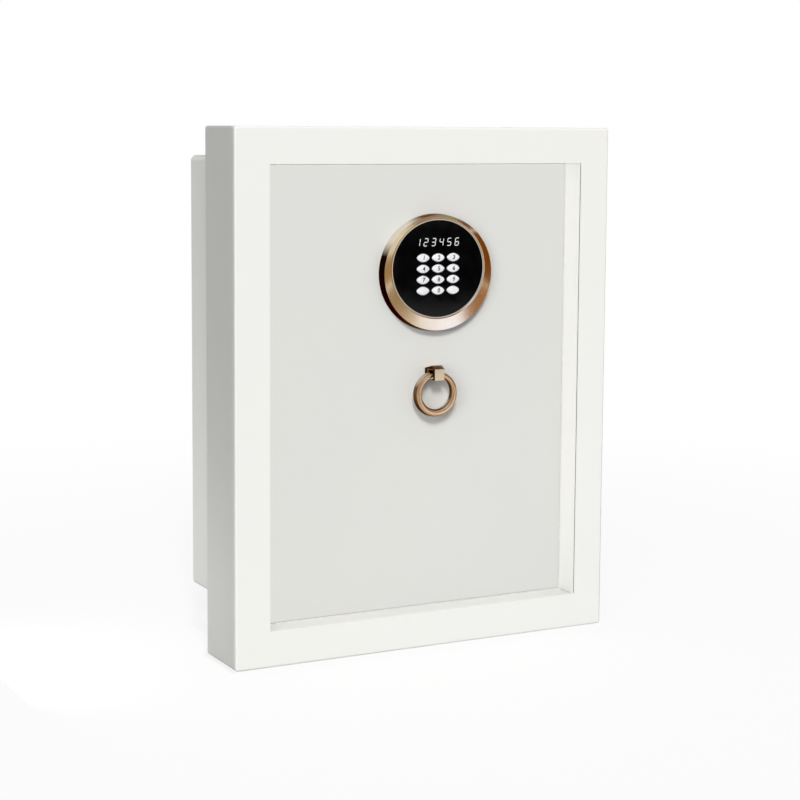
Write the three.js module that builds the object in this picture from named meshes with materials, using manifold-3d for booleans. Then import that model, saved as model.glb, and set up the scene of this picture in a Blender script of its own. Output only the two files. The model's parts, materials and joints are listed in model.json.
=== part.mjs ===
// A recessed hotel safe. A white steel frame stands off the wall round a door that lies back
// from its face. The door carries a round keypad and a pull ring in front, and the motor-driven
// bolts behind. A shallow steel body goes into the wall.
//
// Millimetres. +X is to the right as one faces the safe, +Y goes into the wall and +Z is up.
// The origin lies on the wall plane, in the middle of the frame's rear flange below the body.

import * as THREE from "three";
import { mergeVertices } from "three/addons/utils/BufferGeometryUtils.js";
import Module from "manifold-3d";

const wasm = await Module();
wasm.setup();

// Clearances shared by the whole safe
const SEAT = 0.3; // between two pieces that rest on each other
const RUNNING = 0.3; // round a pin, a key or a bolt that moves

// Surround frame
const FRAME_WIDTH = 360;
const FRAME_HEIGHT = 450;
const FRAME_PROUD = 62; // from the wall to the front face
const FRAME_SHEET = 2;
const FRAME_BEND = 1.6; // outer radius of the folded front edge
const FRAME_CORNER = 2.5; // corner radius of its outline
const FACE_BORDER = 31; // from the outer side to the door opening
const ORIGIN_HEIGHT = 18; // the origin above the frame's lowest edge

// Strike jamb, the separate strip on the bolt side of the opening
const JAMB_SHEET = 1.5;
const JAMB_SEAM = 0.8; // open seam between the strip and the frame's face
const JAMB_TOP_GAP = 1.5;
const JAMB_FLANGE = 14;

// Body behind the wall
const BODY_DEPTH = 98; // behind the wall plane
const BODY_SHEET = 3;
const BODY_CORNER = 5;
const FLOOR_STEP = 9.6; // the floor inside stands this far above the opening's lower edge
const BACK_SHEET = 3;
const ANCHOR_HOLE_RADIUS = 5;
const ANCHOR_INSET_X = 62;
const ANCHOR_INSET_Z = 85;
const MAT_THICKNESS = 2;

// Stop frame, the plate ring that the door closes against and the bolts lock behind
const STOP_SHEET = 3;
const STOP_SIDE_LIP = 12;
const STOP_TOP_LIP = 10;
const STOP_BOTTOM_LIP = 21;
const STOP_FLANGE = 5; // past the reveal, for the welds
const STOP_CORNER = 6;

// Door
const DOOR_RECESS = 20.5; // from the frame's face to the door's face
const DOOR_THICKNESS = 6;
const DOOR_GAP = 1; // all round
const DOOR_CORNER = 1.2;
const DOOR_EDGE = 0.6; // eased edge of the plate

// Hinge: two vertical pins in the middle of the plate's thickness
const HINGE_INSET = 10; // from the opening's left side to the pins
const HINGE_PIN_RADIUS = 2;
const HINGE_PIN_IN_DOOR = 16;
const HINGE_PIN_OUT = 8;
const HINGE_SWEEP_GAP = 0.7; // from the swept edge of the door to the stop frame
const BUSH_WALL = 1.4;
const BUSH_FLANGE = 1.8;
const BUSH_FLANGE_THICKNESS = 1.2;
const BUSH_LENGTH = 8;
const HINGE_BLOCK_HEIGHT = 42;
const HINGE_BLOCK_OUT = 3.5; // past the pin, towards the opening's side
const HINGE_BLOCK_IN = 10; // past the pin, towards the door's middle
const HINGE_BLOCK_DEPTH = 5.5;

// Rubber buffers on the stop frame
const BUFFER_RADIUS = 5;
const BUFFER_STEM_RADIUS = 1.7;
const BUFFER_BULB_RADIUS = 2.6;
const BUFFER_BULB_LENGTH = 2.2;
const BUFFER_INSET_Z = 46; // from the door's ends

// Keypad on the door: a little wider than high, with a bezel that sits off the lens centre, so
// that its bevel is widest at the bottom right. A radius here counts upwards.
const KEYPAD_X = 13.4;
const KEYPAD_DROP = 89; // the lens centre below the door's upper edge
const KEYPAD_STRETCH = 1.055; // width over height
const LENS_RADIUS = 41.5;
const LENS_THICKNESS = 2.3;
const LENS_PROUD = 10.5; // from the door's face to the lens's face
const TRIM_WIDTH = 1;
const TRIM_PROUD = 0.5; // past the lens
const BEZEL_BASE_RADIUS = 50.8;
const BEZEL_FRONT_RADIUS = 49.7;
const BEZEL_EDGE_PROUD = 8.8;
const BEZEL_OFF_CENTRE = 4; // down
const BEZEL_OFF_SIDE = 1.4; // to the right
const BEZEL_WALL = 4;
const LEDGE_WIDTH = 4; // the seat behind the lens
const LEDGE_THICKNESS = 1;
const KEYPAD_SCREW_INSET = 7; // from the bezel's base edge to its two screws
const KEYPAD_BOSS_RADIUS = 3.8;

// Keys
const KEY_WIDTH = 12.6;
const KEY_HEIGHT = 7.8;
const KEY_PITCH_X = 14.7;
const KEY_PITCH_Z = 9.46;
const KEYS_DROP = 4.8; // the middle of the keys below the lens centre
const KEY_PROUD = 1.1;
const KEY_TRAVEL = 1;
const KEY_FLANGE = 0.55; // wider than the cap, behind the lens
const KEY_FLANGE_THICKNESS = 1;
const KEY_STEM_INSET = 2;
const KEY_EDGE = 0.5;
const KEY_POINT = 1.15; // 1 draws ellipses, and more draws ovals with pointed ends

// Behind the lens
const DISPLAY_WIDTH = 46;
const DISPLAY_HEIGHT = 12;
const DISPLAY_RISE = 22.8; // its centre above the lens centre
const BOARD_THICKNESS = 1.6;
const BOARD_STANDOFF = 0.6;
const KEYPAD_BOARD_RADIUS = 37;
const MEMBRANE_THICKNESS = 1.2;
const MEMBRANE_MARGIN = 1.5;
const CABLE_HOLE_RADIUS = 8;
const CABLE_DROP = 10; // the cable hole below the lens centre
const CABLE_WIDTH = 10;
const CABLE_THICKNESS = 1;
const CABLE_BEND = 8; // sideways, behind the door

// Ring pull
const PULL_X = 11.4;
const PULL_DROP = 180.2; // the ring's pivot below the door's upper edge
const PULL_PROUD = 11; // from the door's face to the pivot
const RING_BORE = 13.8; // radius at the front
const RING_OUTSIDE = 19; // radius at the front
const RING_BORE_FLARE = 1.6; // how much the bore widens towards the back
const RING_OUTSIDE_FLARE = 0.8;
const RING_DEPTH = 6.6;
const RING_EASE = 1.8; // along both sides of each corner of its section
const HOOK_WIDTH = 9.8;
const HOOK_FRONT_GAP = 4.6; // from the pivot to the front plate
const HOOK_PLATE = 3.3;
const HOOK_ARM_GAP = 3.75; // from the pivot up to the arm
const HOOK_ARM = 3.4;
const HOOK_LIP_GAP = 4.2; // from the pivot down to the lip
const HOOK_LIP = 1.4;
const HOOK_LIP_LENGTH = 2;
const HOOK_FOOT_DEPTH = 6.2;
const HOOK_CHAMFER_DROP = 1.2; // the slope between its top and its front plate
const HOOK_CHAMFER_DEPTH = 1.8;
const HOOK_EDGE = 0.35;

// Screws
const SCREW_RADIUS = 1.7;
const SCREW_HEAD_RADIUS = 3.4;
const SCREW_HEAD_HEIGHT = 2.2;
const SCREW_GRIP = 4.5; // how far the shank reaches into its boss

// Bolt work on the back of the door
const BOLT_RADIUS = 7;
const BOLT_BEHIND_STOP = 0.8;
const BOLT_REST_GAP = 3; // from the drawn-in bolt to the stop frame's lip
const BOLT_ENGAGEMENT = 10; // how far the thrown bolt reaches behind the lip
const BOLT_SPACING = 110;
const BOLT_CHAMFER = 1.2;
const BOLT_SPIGOT_RADIUS = 3;
const BOLT_SHOW = 3; // past the inner cover
const BAR_THICKNESS = 4;
const BAR_CLEARANCE = 5; // from the thrown bar to its guides
const CHASSIS_SHEET = 2;
const GUIDE_SPACING = 36;
const GUIDE_TAB_WIDTH = 24;
const GUIDE_RISE = 4.5; // past the bolt's back
const CHASSIS_MARGIN = 10;

// Rack and pinion
const MODULE = 1;
const PINION_TEETH = 14;
const PRESSURE_ANGLE = THREE.MathUtils.degToRad(20);
const ADDENDUM = 0.8;
const DEDENDUM = 1.05;
const BACKLASH = 0.15; // taken off each tooth
const GEAR_FACE = 5;
const RACK_BODY = 5;
const HUB_RADIUS = 4;
const HUB_LENGTH = 3;
const SHAFT_RADIUS = 2;
const SHAFT_DEPTH = 5;
const GEARBOX_WIDTH = 24;
const GEARBOX_BELOW = 12;
const GEARBOX_ABOVE = 26;
const GEARBOX_GAP = 0.8;
const GEARBOX_CORNER = 3;
const MOTOR_RADIUS = 8;
const MOTOR_LENGTH = 30;

// Inner cover
const COVER_DEPTH = 40.5; // from the door's back
const COVER_SHEET = 1.2;
const COVER_HINGE_CLEARANCE = 14;
const COVER_STOP_CLEARANCE = 14;
const COVER_CORNER = 8;
const COVER_BEND = 1.5;
const POST_RADIUS = 3.5;
const POST_INSET = 12;
const BEAD_WIDTH = 10; // the bead pressed inwards across the cover's middle
const BEAD_DEPTH = 1.6;
const BEAD_EASE = 1;
const BEAD_INSET = 24; // from the cover's sides to the bead's ends
const SLOT_LENGTH = 12; // the sound slots over the buzzer
const SLOT_WIDTH = 1.6;
const SLOT_PITCH = 3.6;
const SLOT_COUNT = 3;

// Control board
const CONTROL_WIDTH = 82;
const CONTROL_HEIGHT = 110;
const CONTROL_INSET = 13; // from the cover's left side
const CONTROL_TOP_INSET = 32;
const CONTROL_STANDOFF = 23;
const CONTROL_POST_INSET = 5;
const SWITCH_SIZE = 6;
const SWITCH_HEIGHT = 4.5;

// What stands on the board, placed from its lower left corner
const SOCKET_WIDTH = 8;
const SOCKET_HEIGHT = 6;
const SOCKET_MARGIN = 2; // past the ribbon on each side
const RELAY_X = 14;
const RELAY_Z = 16;
const RELAY_WIDTH = 19;
const RELAY_LENGTH = 15;
const RELAY_HEIGHT = 9;
const TERMINAL_X = 46;
const TERMINAL_Z = 14;
const TERMINAL_WIDTH = 20;
const TERMINAL_LENGTH = 9;
const TERMINAL_HEIGHT = 6;
const CAPACITOR_X = 22;
const CAPACITOR_Z = 52;
const CAPACITOR_PITCH = 12;
const CAPACITOR_RADIUS = 4;
const CAPACITOR_HEIGHT = 10;
const BUZZER_X = 62;
const BUZZER_Z = 46;
const BUZZER_RADIUS = 6;
const BUZZER_HEIGHT = 7;
const FILLET_SINK = 0.5; // how far each part sinks into the board it is soldered to

// Reset button
const BUTTON_RADIUS = 3.5;
const BUTTON_PROUD = 1.5;
const BUTTON_TRAVEL = 2;
const BUTTON_FLANGE_RADIUS = 5;
const BUTTON_FLANGE_THICKNESS = 1.5;
const BUTTON_STEM_RADIUS = 2;

// Cells and their tray
const CELL_RADIUS = 7.25;
const CELL_LENGTH = 50.5;
const CELL_COUNT = 4;
const CELL_PITCH = 15.6;
const CELL_NUB_RADIUS = 2.75;
const CELL_NUB_LENGTH = 1.2;
const CELL_END_GAP = 3;
const TRAY_WALL = 2;
const TRAY_INSET = 13; // from the cover's left side
const TRAY_BOTTOM_INSET = 24;
const CELL_DEPTH = 11; // from the cover's outer face to the cells' centres
const CRADLE_DEPTH = 3; // from the cells' centres to the cradle's edge

// Battery lid
const LID_THICKNESS = 1.6;
const LID_GAP = 0.4;
const LID_BARREL_RADIUS = 1.8;
const LID_PIN_RADIUS = 0.9;
const LID_KNUCKLE = 12; // each of the cover's two knuckles
const LID_GRIP_WIDTH = 14;
const LID_GRIP_HEIGHT = 2.4;

// Fineness of the round forms
const FINE = 44;
const MEDIUM = 20;
const COARSE = 12;
const CELL_SIDES = 14;
const KEY_SIDES = 16;
const RING_STEPS = 32;

// The frame and its opening
const frameX = FRAME_WIDTH / 2;
const frameBottom = -ORIGIN_HEIGHT;
const frameTop = frameBottom + FRAME_HEIGHT;
const faceY = -FRAME_PROUD;
const openX = frameX - FACE_BORDER;
const openBottom = frameBottom + FACE_BORDER;
const openTop = frameTop - FACE_BORDER;

// The door in the opening
const doorFront = faceY + DOOR_RECESS;
const doorBack = doorFront + DOOR_THICKNESS;
const doorX = openX - DOOR_GAP;
const doorBottom = openBottom + DOOR_GAP;
const doorTop = openTop - DOOR_GAP;
const doorMiddle = (doorBottom + doorTop) / 2;

// The hinge axis, and the stop frame just clear of the door's swept edge
const hingeX = -openX + HINGE_INSET;
const hingeY = (doorFront + doorBack) / 2;
const hingeSweep = Math.hypot(HINGE_INSET - DOOR_GAP, DOOR_THICKNESS / 2);
const stopFront = hingeY + hingeSweep + HINGE_SWEEP_GAP;
const stopBack = stopFront + STOP_SHEET;
const stopX = openX - STOP_SIDE_LIP;
const stopBottom = openBottom + STOP_BOTTOM_LIP;
const stopTop = openTop - STOP_TOP_LIP;
const stopFlangeX = openX + FRAME_SHEET + STOP_FLANGE;

// The body, inside which the reveal would just slide
const bodyInnerX = openX + FRAME_SHEET;
const bodyInnerTop = openTop + FRAME_SHEET;
const bodyFloor = openBottom + FLOOR_STEP;
const bodyX = bodyInnerX + BODY_SHEET;
const bodyTop = bodyInnerTop + BODY_SHEET;
const bodyBottom = bodyFloor - BODY_SHEET;

// The keypad, with depths counted out from the door's face
const lensZ = doorTop - KEYPAD_DROP;
const out = (depth) => doorFront - depth;
const lensBack = LENS_PROUD - LENS_THICKNESS;
const ledgeFront = lensBack - SEAT;
const ledgeBack = ledgeFront - LEDGE_THICKNESS;
const trimInner = LENS_RADIUS + SEAT;
const trimOuter = trimInner + TRIM_WIDTH;
const bezelBore = trimOuter + SEAT;
const boardFront = BOARD_STANDOFF + BOARD_THICKNESS;
const membraneBack = boardFront + SEAT;
const membraneFront = membraneBack + MEMBRANE_THICKNESS;
const keyColumns = [-1, 0, 1].map((column) => column * KEY_PITCH_X);
const keyRows = [1.5, 0.5, -0.5, -1.5].map((row) => row * KEY_PITCH_Z - KEYS_DROP);
const keypadScrewX = BEZEL_BASE_RADIUS * KEYPAD_STRETCH - KEYPAD_SCREW_INSET;
const bezelX = KEYPAD_X + BEZEL_OFF_SIDE;
const bezelZ = lensZ - BEZEL_OFF_CENTRE;

// The ring's pivot
const pullY = out(PULL_PROUD);
const pullZ = doorTop - PULL_DROP;
const ringRadius = (RING_BORE + RING_OUTSIDE + RING_OUTSIDE_FLARE) / 2; // to its section's middle
const hookPlateBack = pullY - HOOK_FRONT_GAP;
const hookPlateFront = hookPlateBack - HOOK_PLATE;
const hookArmBottom = pullZ + HOOK_ARM_GAP;
const hookTop = hookArmBottom + HOOK_ARM;
const hookLipTop = pullZ - HOOK_LIP_GAP;
const hookBottom = hookLipTop - HOOK_LIP;
const hookFootFace = out(HOOK_FOOT_DEPTH);
const hookScrewZ = (hookTop + hookLipTop) / 2;

// The bolt work, from the lip inwards
const boltY = stopBack + BOLT_BEHIND_STOP + BOLT_RADIUS;
const boltTip = stopX - BOLT_REST_GAP;
const boltThrow = BOLT_REST_GAP + BOLT_ENGAGEMENT;
const boltRows = [doorMiddle + BOLT_SPACING / 2, doorMiddle - BOLT_SPACING / 2];
const coverRight = boltTip - BOLT_SHOW;
const chassisRight = coverRight - COVER_SHEET - CHASSIS_SHEET;
const guideX = chassisRight - GUIDE_SPACING;
const barRight = guideX - BAR_CLEARANCE - boltThrow;
const barLeft = barRight - BAR_THICKNESS;
const chassisFront = doorBack + SEAT;
const chassisFloor = chassisFront + CHASSIS_SHEET;
const guideBack = boltY + BOLT_RADIUS + GUIDE_RISE;

// The gear pair: the rack's pitch line lies at the middle of the door
const pitchRadius = (MODULE * PINION_TEETH) / 2;
const pinionX = barLeft - BOLT_REST_GAP - GEARBOX_WIDTH / 2;
const pinionZ = doorMiddle + pitchRadius;
const gearBack = boltY + BOLT_RADIUS + 1;
const gearFront = gearBack - GEAR_FACE;
const gearboxBack = gearFront - GEARBOX_GAP;
const gearboxFront = chassisFloor + SEAT;
const gearboxTop = pinionZ + GEARBOX_ABOVE;
const chassisLeft = pinionX - GEARBOX_WIDTH / 2 - CHASSIS_MARGIN;
const chassisHalf = BOLT_SPACING / 2 + BOLT_RADIUS + CHASSIS_MARGIN;

// The inner cover
const coverLeft = hingeX + COVER_HINGE_CLEARANCE;
const coverBottom = stopBottom + COVER_STOP_CLEARANCE;
const coverTop = stopTop - COVER_STOP_CLEARANCE;
const coverFront = doorBack + SEAT;
const coverBack = doorBack + COVER_DEPTH;
const coverInside = coverBack - COVER_SHEET;
const coverPosts = [coverLeft + POST_INSET, coverRight - POST_INSET].flatMap((x) =>
  [coverBottom + POST_INSET, coverTop - POST_INSET].map((z) => [x, z]),
);

// The control board and the button over its switch
const controlLeft = coverLeft + CONTROL_INSET;
const controlRight = controlLeft + CONTROL_WIDTH;
const controlTop = coverTop - CONTROL_TOP_INSET;
const controlBottom = controlTop - CONTROL_HEIGHT;
const controlFront = doorBack + CONTROL_STANDOFF;
const controlBack = controlFront + BOARD_THICKNESS;
const controlPosts = [controlLeft, controlRight - 2 * CONTROL_POST_INSET].flatMap((x) =>
  [controlBottom, controlTop - 2 * CONTROL_POST_INSET].map((z) => [
    x + CONTROL_POST_INSET,
    z + CONTROL_POST_INSET,
  ]),
);
const buttonX = (controlLeft + controlRight) / 2;
const buttonZ = controlBottom + CONTROL_HEIGHT * 0.7;
const cableZ = lensZ - CABLE_DROP;

// The battery tray and its lid
const trayInsideX = CELL_LENGTH + 2 * CELL_END_GAP;
const trayInsideZ = CELL_COUNT * CELL_PITCH;
const trayLeft = coverLeft + TRAY_INSET;
const trayRight = trayLeft + trayInsideX + 2 * TRAY_WALL;
const trayBottom = coverBottom + TRAY_BOTTOM_INSET;
const trayTop = trayBottom + trayInsideZ + 2 * TRAY_WALL;
const trayX = (trayLeft + trayRight) / 2;
const cellY = coverBack - CELL_DEPTH;
const trayBack = coverInside - SEAT * 2;
const cradleBack = cellY - CRADLE_DEPTH;
const cradleFront = cellY - CELL_RADIUS - RUNNING - TRAY_WALL;
const cellRows = Array.from(
  { length: CELL_COUNT },
  (_, i) => trayBottom + TRAY_WALL + (i + 0.5) * CELL_PITCH,
);
const lidLeft = trayLeft + TRAY_WALL;
const lidRight = trayRight - TRAY_WALL;
const lidBottom = trayBottom + TRAY_WALL;
const lidTop = trayTop - TRAY_WALL;
const lidAxisY = coverBack + SEAT + LID_BARREL_RADIUS;
const beadZ = (lidTop + controlBottom) / 2;

// Finishes
const finish = (color, roughness, metalness) =>
  new THREE.MeshStandardMaterial({ color, roughness, metalness });
const whitePaint = finish(0xf3f3ee, 0.5, 0);
const doorPaint = finish(0xe2e1dc, 0.55, 0);
const bodyPaint = finish(0xdcdcd8, 0.55, 0);
const roseGold = finish(0xc9966c, 0.2, 1);
const paleGold = finish(0xe6d3b4, 0.25, 1);
const blackGlass = finish(0x0a0a0b, 0.08, 0);
const keyWhite = finish(0xf4f4f2, 0.4, 0);
const rubber = finish(0x1c1c1c, 0.8, 0);
const felt = finish(0x3a3c40, 0.95, 0);
const zinc = finish(0xb9bdc1, 0.38, 1);
const brightSteel = finish(0xc8cacd, 0.22, 1);
const brass = finish(0xb5914f, 0.35, 1);
const boardGreen = finish(0x1f5e3a, 0.5, 0);
const blackPlastic = finish(0x202124, 0.55, 0);
const greyPlastic = finish(0x8f9296, 0.55, 0);
const cellWrap = finish(0x34383d, 0.35, 0.3);
const redPlastic = finish(0xb3261e, 0.45, 0);

// The closed solid of a three.js geometry: copies of one corner are joined, slivers without
// area are dropped, and a surface that came out inside out is turned round.
function solid(geometry) {
  const bare = geometry.index ? geometry.toNonIndexed() : geometry.clone();
  bare.deleteAttribute("normal");
  bare.deleteAttribute("uv");
  const merged = mergeVertices(bare, 1e-4);
  const corners = merged.index.array;
  const kept = [];
  for (let i = 0; i < corners.length; i += 3) {
    const [a, b, c] = [corners[i], corners[i + 1], corners[i + 2]];
    if (a !== b && b !== c && c !== a) kept.push([a, b, c]);
  }
  const build = (triangles) =>
    new wasm.Manifold(
      new wasm.Mesh({
        numProp: 3,
        vertProperties: merged.attributes.position.array,
        triVerts: new Uint32Array(triangles.flat()),
      }),
    );
  const made = build(kept);
  return made.volume() > 0 ? made : build(kept.map(([a, b, c]) => [a, c, b]));
}

function join(...solids) {
  return solids.reduce((all, one) => all.add(one));
}

function cut(from, ...tools) {
  return tools.reduce((left, tool) => left.subtract(tool), from);
}

function block(x0, x1, y0, y1, z0, z1) {
  const box = new THREE.BoxGeometry(x1 - x0, y1 - y0, z1 - z0);
  box.translate((x0 + x1) / 2, (y0 + y1) / 2, (z0 + z1) / 2);
  return solid(box);
}

const X = new THREE.Vector3(1, 0, 0);
const Y = new THREE.Vector3(0, 1, 0);
const Z = new THREE.Vector3(0, 0, 1);
// How a drawn outline and its depth lie in the model, for a prism along each axis
const ALONG = {
  x: new THREE.Matrix4().makeBasis(Y, Z, X),
  y: new THREE.Matrix4().makeBasis(X, Z, Y.clone().negate()),
  z: new THREE.Matrix4(),
};

// A prism of an outline: drawn in (y, z) along x, in (x, z) along y, or in (x, y) along z.
// edge eases the rim of both end faces.
function prism(outline, axis, from, to, { edge = 0, curve = 2, steps = 2 } = {}) {
  const geometry = new THREE.ExtrudeGeometry(outline, {
    depth: to - from - 2 * edge,
    bevelEnabled: edge > 0,
    bevelThickness: edge,
    bevelSize: edge,
    bevelOffset: -edge,
    bevelSegments: steps,
    curveSegments: curve,
  });
  geometry.translate(0, 0, (axis === "y" ? -to : from) + edge);
  return solid(geometry.applyMatrix4(ALONG[axis]));
}

// A solid of revolution about an axis through (a, b): profile points are [radius, place along
// the axis]. A profile that stays off the axis closes on itself.
function turned(profile, axis, [a, b], segments) {
  const points = profile.map(([radius, along]) => new THREE.Vector2(radius, along));
  const onAxis = points[0].x === 0 && points.at(-1).x === 0;
  if (!onAxis) points.push(points[0].clone());
  const geometry = new THREE.LatheGeometry(points, segments);
  if (axis === "x") geometry.rotateZ(-Math.PI / 2).translate(0, a, b);
  if (axis === "y") geometry.translate(a, 0, b);
  if (axis === "z") geometry.rotateX(Math.PI / 2).translate(a, b, 0);
  return solid(geometry);
}

function rod(radius, axis, centre, from, to, segments = COARSE) {
  return turned([[0, from], [radius, from], [radius, to], [0, to]], axis, centre, segments);
}

function roundedRect(x0, y0, x1, y1, radius) {
  const r = Math.min(radius, (x1 - x0) / 2.01, (y1 - y0) / 2.01);
  const outline = new THREE.Shape();
  outline.moveTo(x0 + r, y0);
  outline.lineTo(x1 - r, y0);
  outline.absarc(x1 - r, y0 + r, r, -Math.PI / 2, 0);
  outline.lineTo(x1, y1 - r);
  outline.absarc(x1 - r, y1 - r, r, 0, Math.PI / 2);
  outline.lineTo(x0 + r, y1);
  outline.absarc(x0 + r, y1 - r, r, Math.PI / 2, Math.PI);
  outline.lineTo(x0, y0 + r);
  outline.absarc(x0 + r, y0 + r, r, Math.PI, Math.PI * 1.5);
  return outline;
}

function polygon(points) {
  return new THREE.Shape(points.map(([x, y]) => new THREE.Vector2(x, y)));
}

// Adds a solid to a group as a named mesh. A solid built round its own centre is placed at
// the given point first.
function piece(name, made, material, group, at = [0, 0, 0]) {
  const { vertProperties, triVerts } = made.getMesh();
  const geometry = new THREE.BufferGeometry();
  geometry.setAttribute("position", new THREE.BufferAttribute(vertProperties, 3));
  geometry.setIndex(new THREE.BufferAttribute(triVerts, 1));
  geometry.computeVertexNormals();
  const mesh = new THREE.Mesh(geometry, material);
  mesh.name = name;
  mesh.position.set(...at);
  group.attach(mesh);
  return mesh;
}

// A group whose own origin is a pivot, so that turning it turns what hangs on it.
function pivoted(parent, x, y, z) {
  const group = new THREE.Group();
  group.position.set(x, y, z);
  parent.attach(group);
  return group;
}

const safe = new THREE.Group();
const door = pivoted(safe, hingeX, hingeY, 0);
const ring = pivoted(door, PULL_X, pullY, pullZ);
const boltWork = pivoted(door, 0, 0, 0);
const pinion = pivoted(door, pinionX, gearBack, pinionZ);
const lid = pivoted(door, trayX, lidAxisY, lidBottom);

// Surround frame: one folded sheet. The face and the outer walls come forward from the rear
// flange, and the reveal turns back into the opening on every side but the strike side.
function surroundFrame() {
  const outline = roundedRect(-frameX, frameBottom, frameX, frameTop, FRAME_CORNER);
  // The rear of this rounded block is trimmed off, so only the front edge keeps its bend
  const blank = prism(outline, "y", faceY, FRAME_BEND * 2, { edge: FRAME_BEND, steps: 3 });
  const shell = blank.subtract(
    block(-frameX - 1, frameX + 1, 0, FRAME_BEND * 3, frameBottom - 1, frameTop + 1),
  );
  const inside = block(
    -frameX + FRAME_SHEET,
    frameX - FRAME_SHEET,
    faceY + FRAME_SHEET,
    -FRAME_SHEET,
    frameBottom + FRAME_SHEET,
    frameTop - FRAME_SHEET,
  );
  const seamX = openX + JAMB_SHEET + JAMB_SEAM;
  const window = block(-openX, seamX, faceY - 1, faceY + FRAME_SHEET + 1, openBottom, openTop);
  const bodyHole = prism(
    roundedRect(
      -bodyX - SEAT,
      bodyBottom - SEAT,
      bodyX + SEAT,
      bodyTop + SEAT,
      BODY_CORNER + SEAT,
    ),
    "y",
    -FRAME_SHEET - 1,
    1,
  );
  const returnEnd = stopFront - SEAT;
  const returnX = openX - SEAT;
  const left = -openX - FRAME_SHEET;
  const revealLeft = block(
    left,
    -openX,
    faceY + FRAME_SHEET / 2,
    returnEnd,
    openBottom - FRAME_SHEET,
    openTop + FRAME_SHEET,
  );
  const revealTop = block(
    left,
    returnX,
    faceY + FRAME_SHEET / 2,
    returnEnd,
    openTop,
    openTop + FRAME_SHEET,
  );
  const revealBottom = block(
    left,
    returnX,
    faceY + FRAME_SHEET / 2,
    returnEnd,
    openBottom - FRAME_SHEET,
    openBottom,
  );
  const bushHole = rod(
    HINGE_PIN_RADIUS + RUNNING + BUSH_WALL + SEAT,
    "z",
    [hingeX, hingeY],
    openBottom - FRAME_SHEET - 1,
    openTop + FRAME_SHEET + 1,
  );
  return cut(
    join(cut(shell, inside, window, bodyHole), revealLeft, revealTop, revealBottom),
    bushHole,
  );
}
piece("surround_frame", surroundFrame(), whitePaint, safe);

// Strike jamb: an angle strip that lines the opening on the bolt side
function strikeJamb() {
  const end = stopFront - SEAT;
  const angle = polygon([
    [openX, faceY],
    [openX + JAMB_SHEET, faceY],
    [openX + JAMB_SHEET, end - JAMB_SHEET],
    [openX + JAMB_SHEET + JAMB_FLANGE, end - JAMB_SHEET],
    [openX + JAMB_SHEET + JAMB_FLANGE, end],
    [openX, end],
  ]);
  return prism(angle, "z", openBottom + SEAT, openTop - JAMB_TOP_GAP);
}
piece("strike_jamb", strikeJamb(), whitePaint, safe);

function stopFrame() {
  const plate = prism(
    roundedRect(
      -stopFlangeX,
      openBottom - FRAME_SHEET - STOP_FLANGE,
      stopFlangeX,
      bodyTop + STOP_FLANGE - BODY_SHEET,
      STOP_CORNER,
    ),
    "y",
    stopFront,
    stopBack,
  );
  const way = prism(
    roundedRect(-stopX, stopBottom, stopX, stopTop, STOP_CORNER),
    "y",
    stopFront - 1,
    stopBack + 1,
  );
  const bufferHoles = bufferRows.map((z) =>
    rod(
      BUFFER_STEM_RADIUS + RUNNING,
      "y",
      [bufferX, z],
      stopFront - 1,
      stopBack + 1,
    ),
  );
  return cut(plate, way, ...bufferHoles);
}
const bufferX = (stopX + doorX) / 2;
const bufferRows = [doorTop - BUFFER_INSET_Z, doorBottom + BUFFER_INSET_Z];
piece("stop_frame", stopFrame(), bodyPaint, safe);

// Body: a sheet tube with rounded corners, closed by a back plate set flush in its end
const shellInside = (margin) =>
  roundedRect(
    -bodyInnerX + margin,
    bodyFloor + margin,
    bodyInnerX - margin,
    bodyInnerTop - margin,
    BODY_CORNER - BODY_SHEET,
  );

function bodyShell() {
  const front = stopBack + SEAT;
  const outer = prism(
    roundedRect(-bodyX, bodyBottom, bodyX, bodyTop, BODY_CORNER),
    "y",
    front,
    BODY_DEPTH,
  );
  return cut(outer, prism(shellInside(0), "y", front - 1, BODY_DEPTH + 1));
}
piece("body_shell", bodyShell(), bodyPaint, safe);

function backPanel() {
  const middle = (bodyFloor + bodyInnerTop) / 2;
  const spreadX = bodyInnerX - ANCHOR_INSET_X;
  const spreadZ = (bodyInnerTop - bodyFloor) / 2 - ANCHOR_INSET_Z;
  const anchors = [-1, 1].flatMap((side) =>
    [-1, 1].map((end) =>
      rod(
        ANCHOR_HOLE_RADIUS,
        "y",
        [side * spreadX, middle + end * spreadZ],
        BODY_DEPTH - BACK_SHEET - 1,
        BODY_DEPTH + 1,
      ),
    ),
  );
  const plate = prism(shellInside(SEAT), "y", BODY_DEPTH - BACK_SHEET, BODY_DEPTH);
  return cut(plate, ...anchors);
}
piece("back_panel", backPanel(), bodyPaint, safe);

piece(
  "floor_mat",
  block(
    -bodyInnerX + BODY_CORNER,
    bodyInnerX - BODY_CORNER,
    stopBack + 2 * SEAT,
    BODY_DEPTH - BACK_SHEET - SEAT,
    bodyFloor + SEAT,
    bodyFloor + SEAT + MAT_THICKNESS,
  ),
  felt,
  safe,
);

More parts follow.
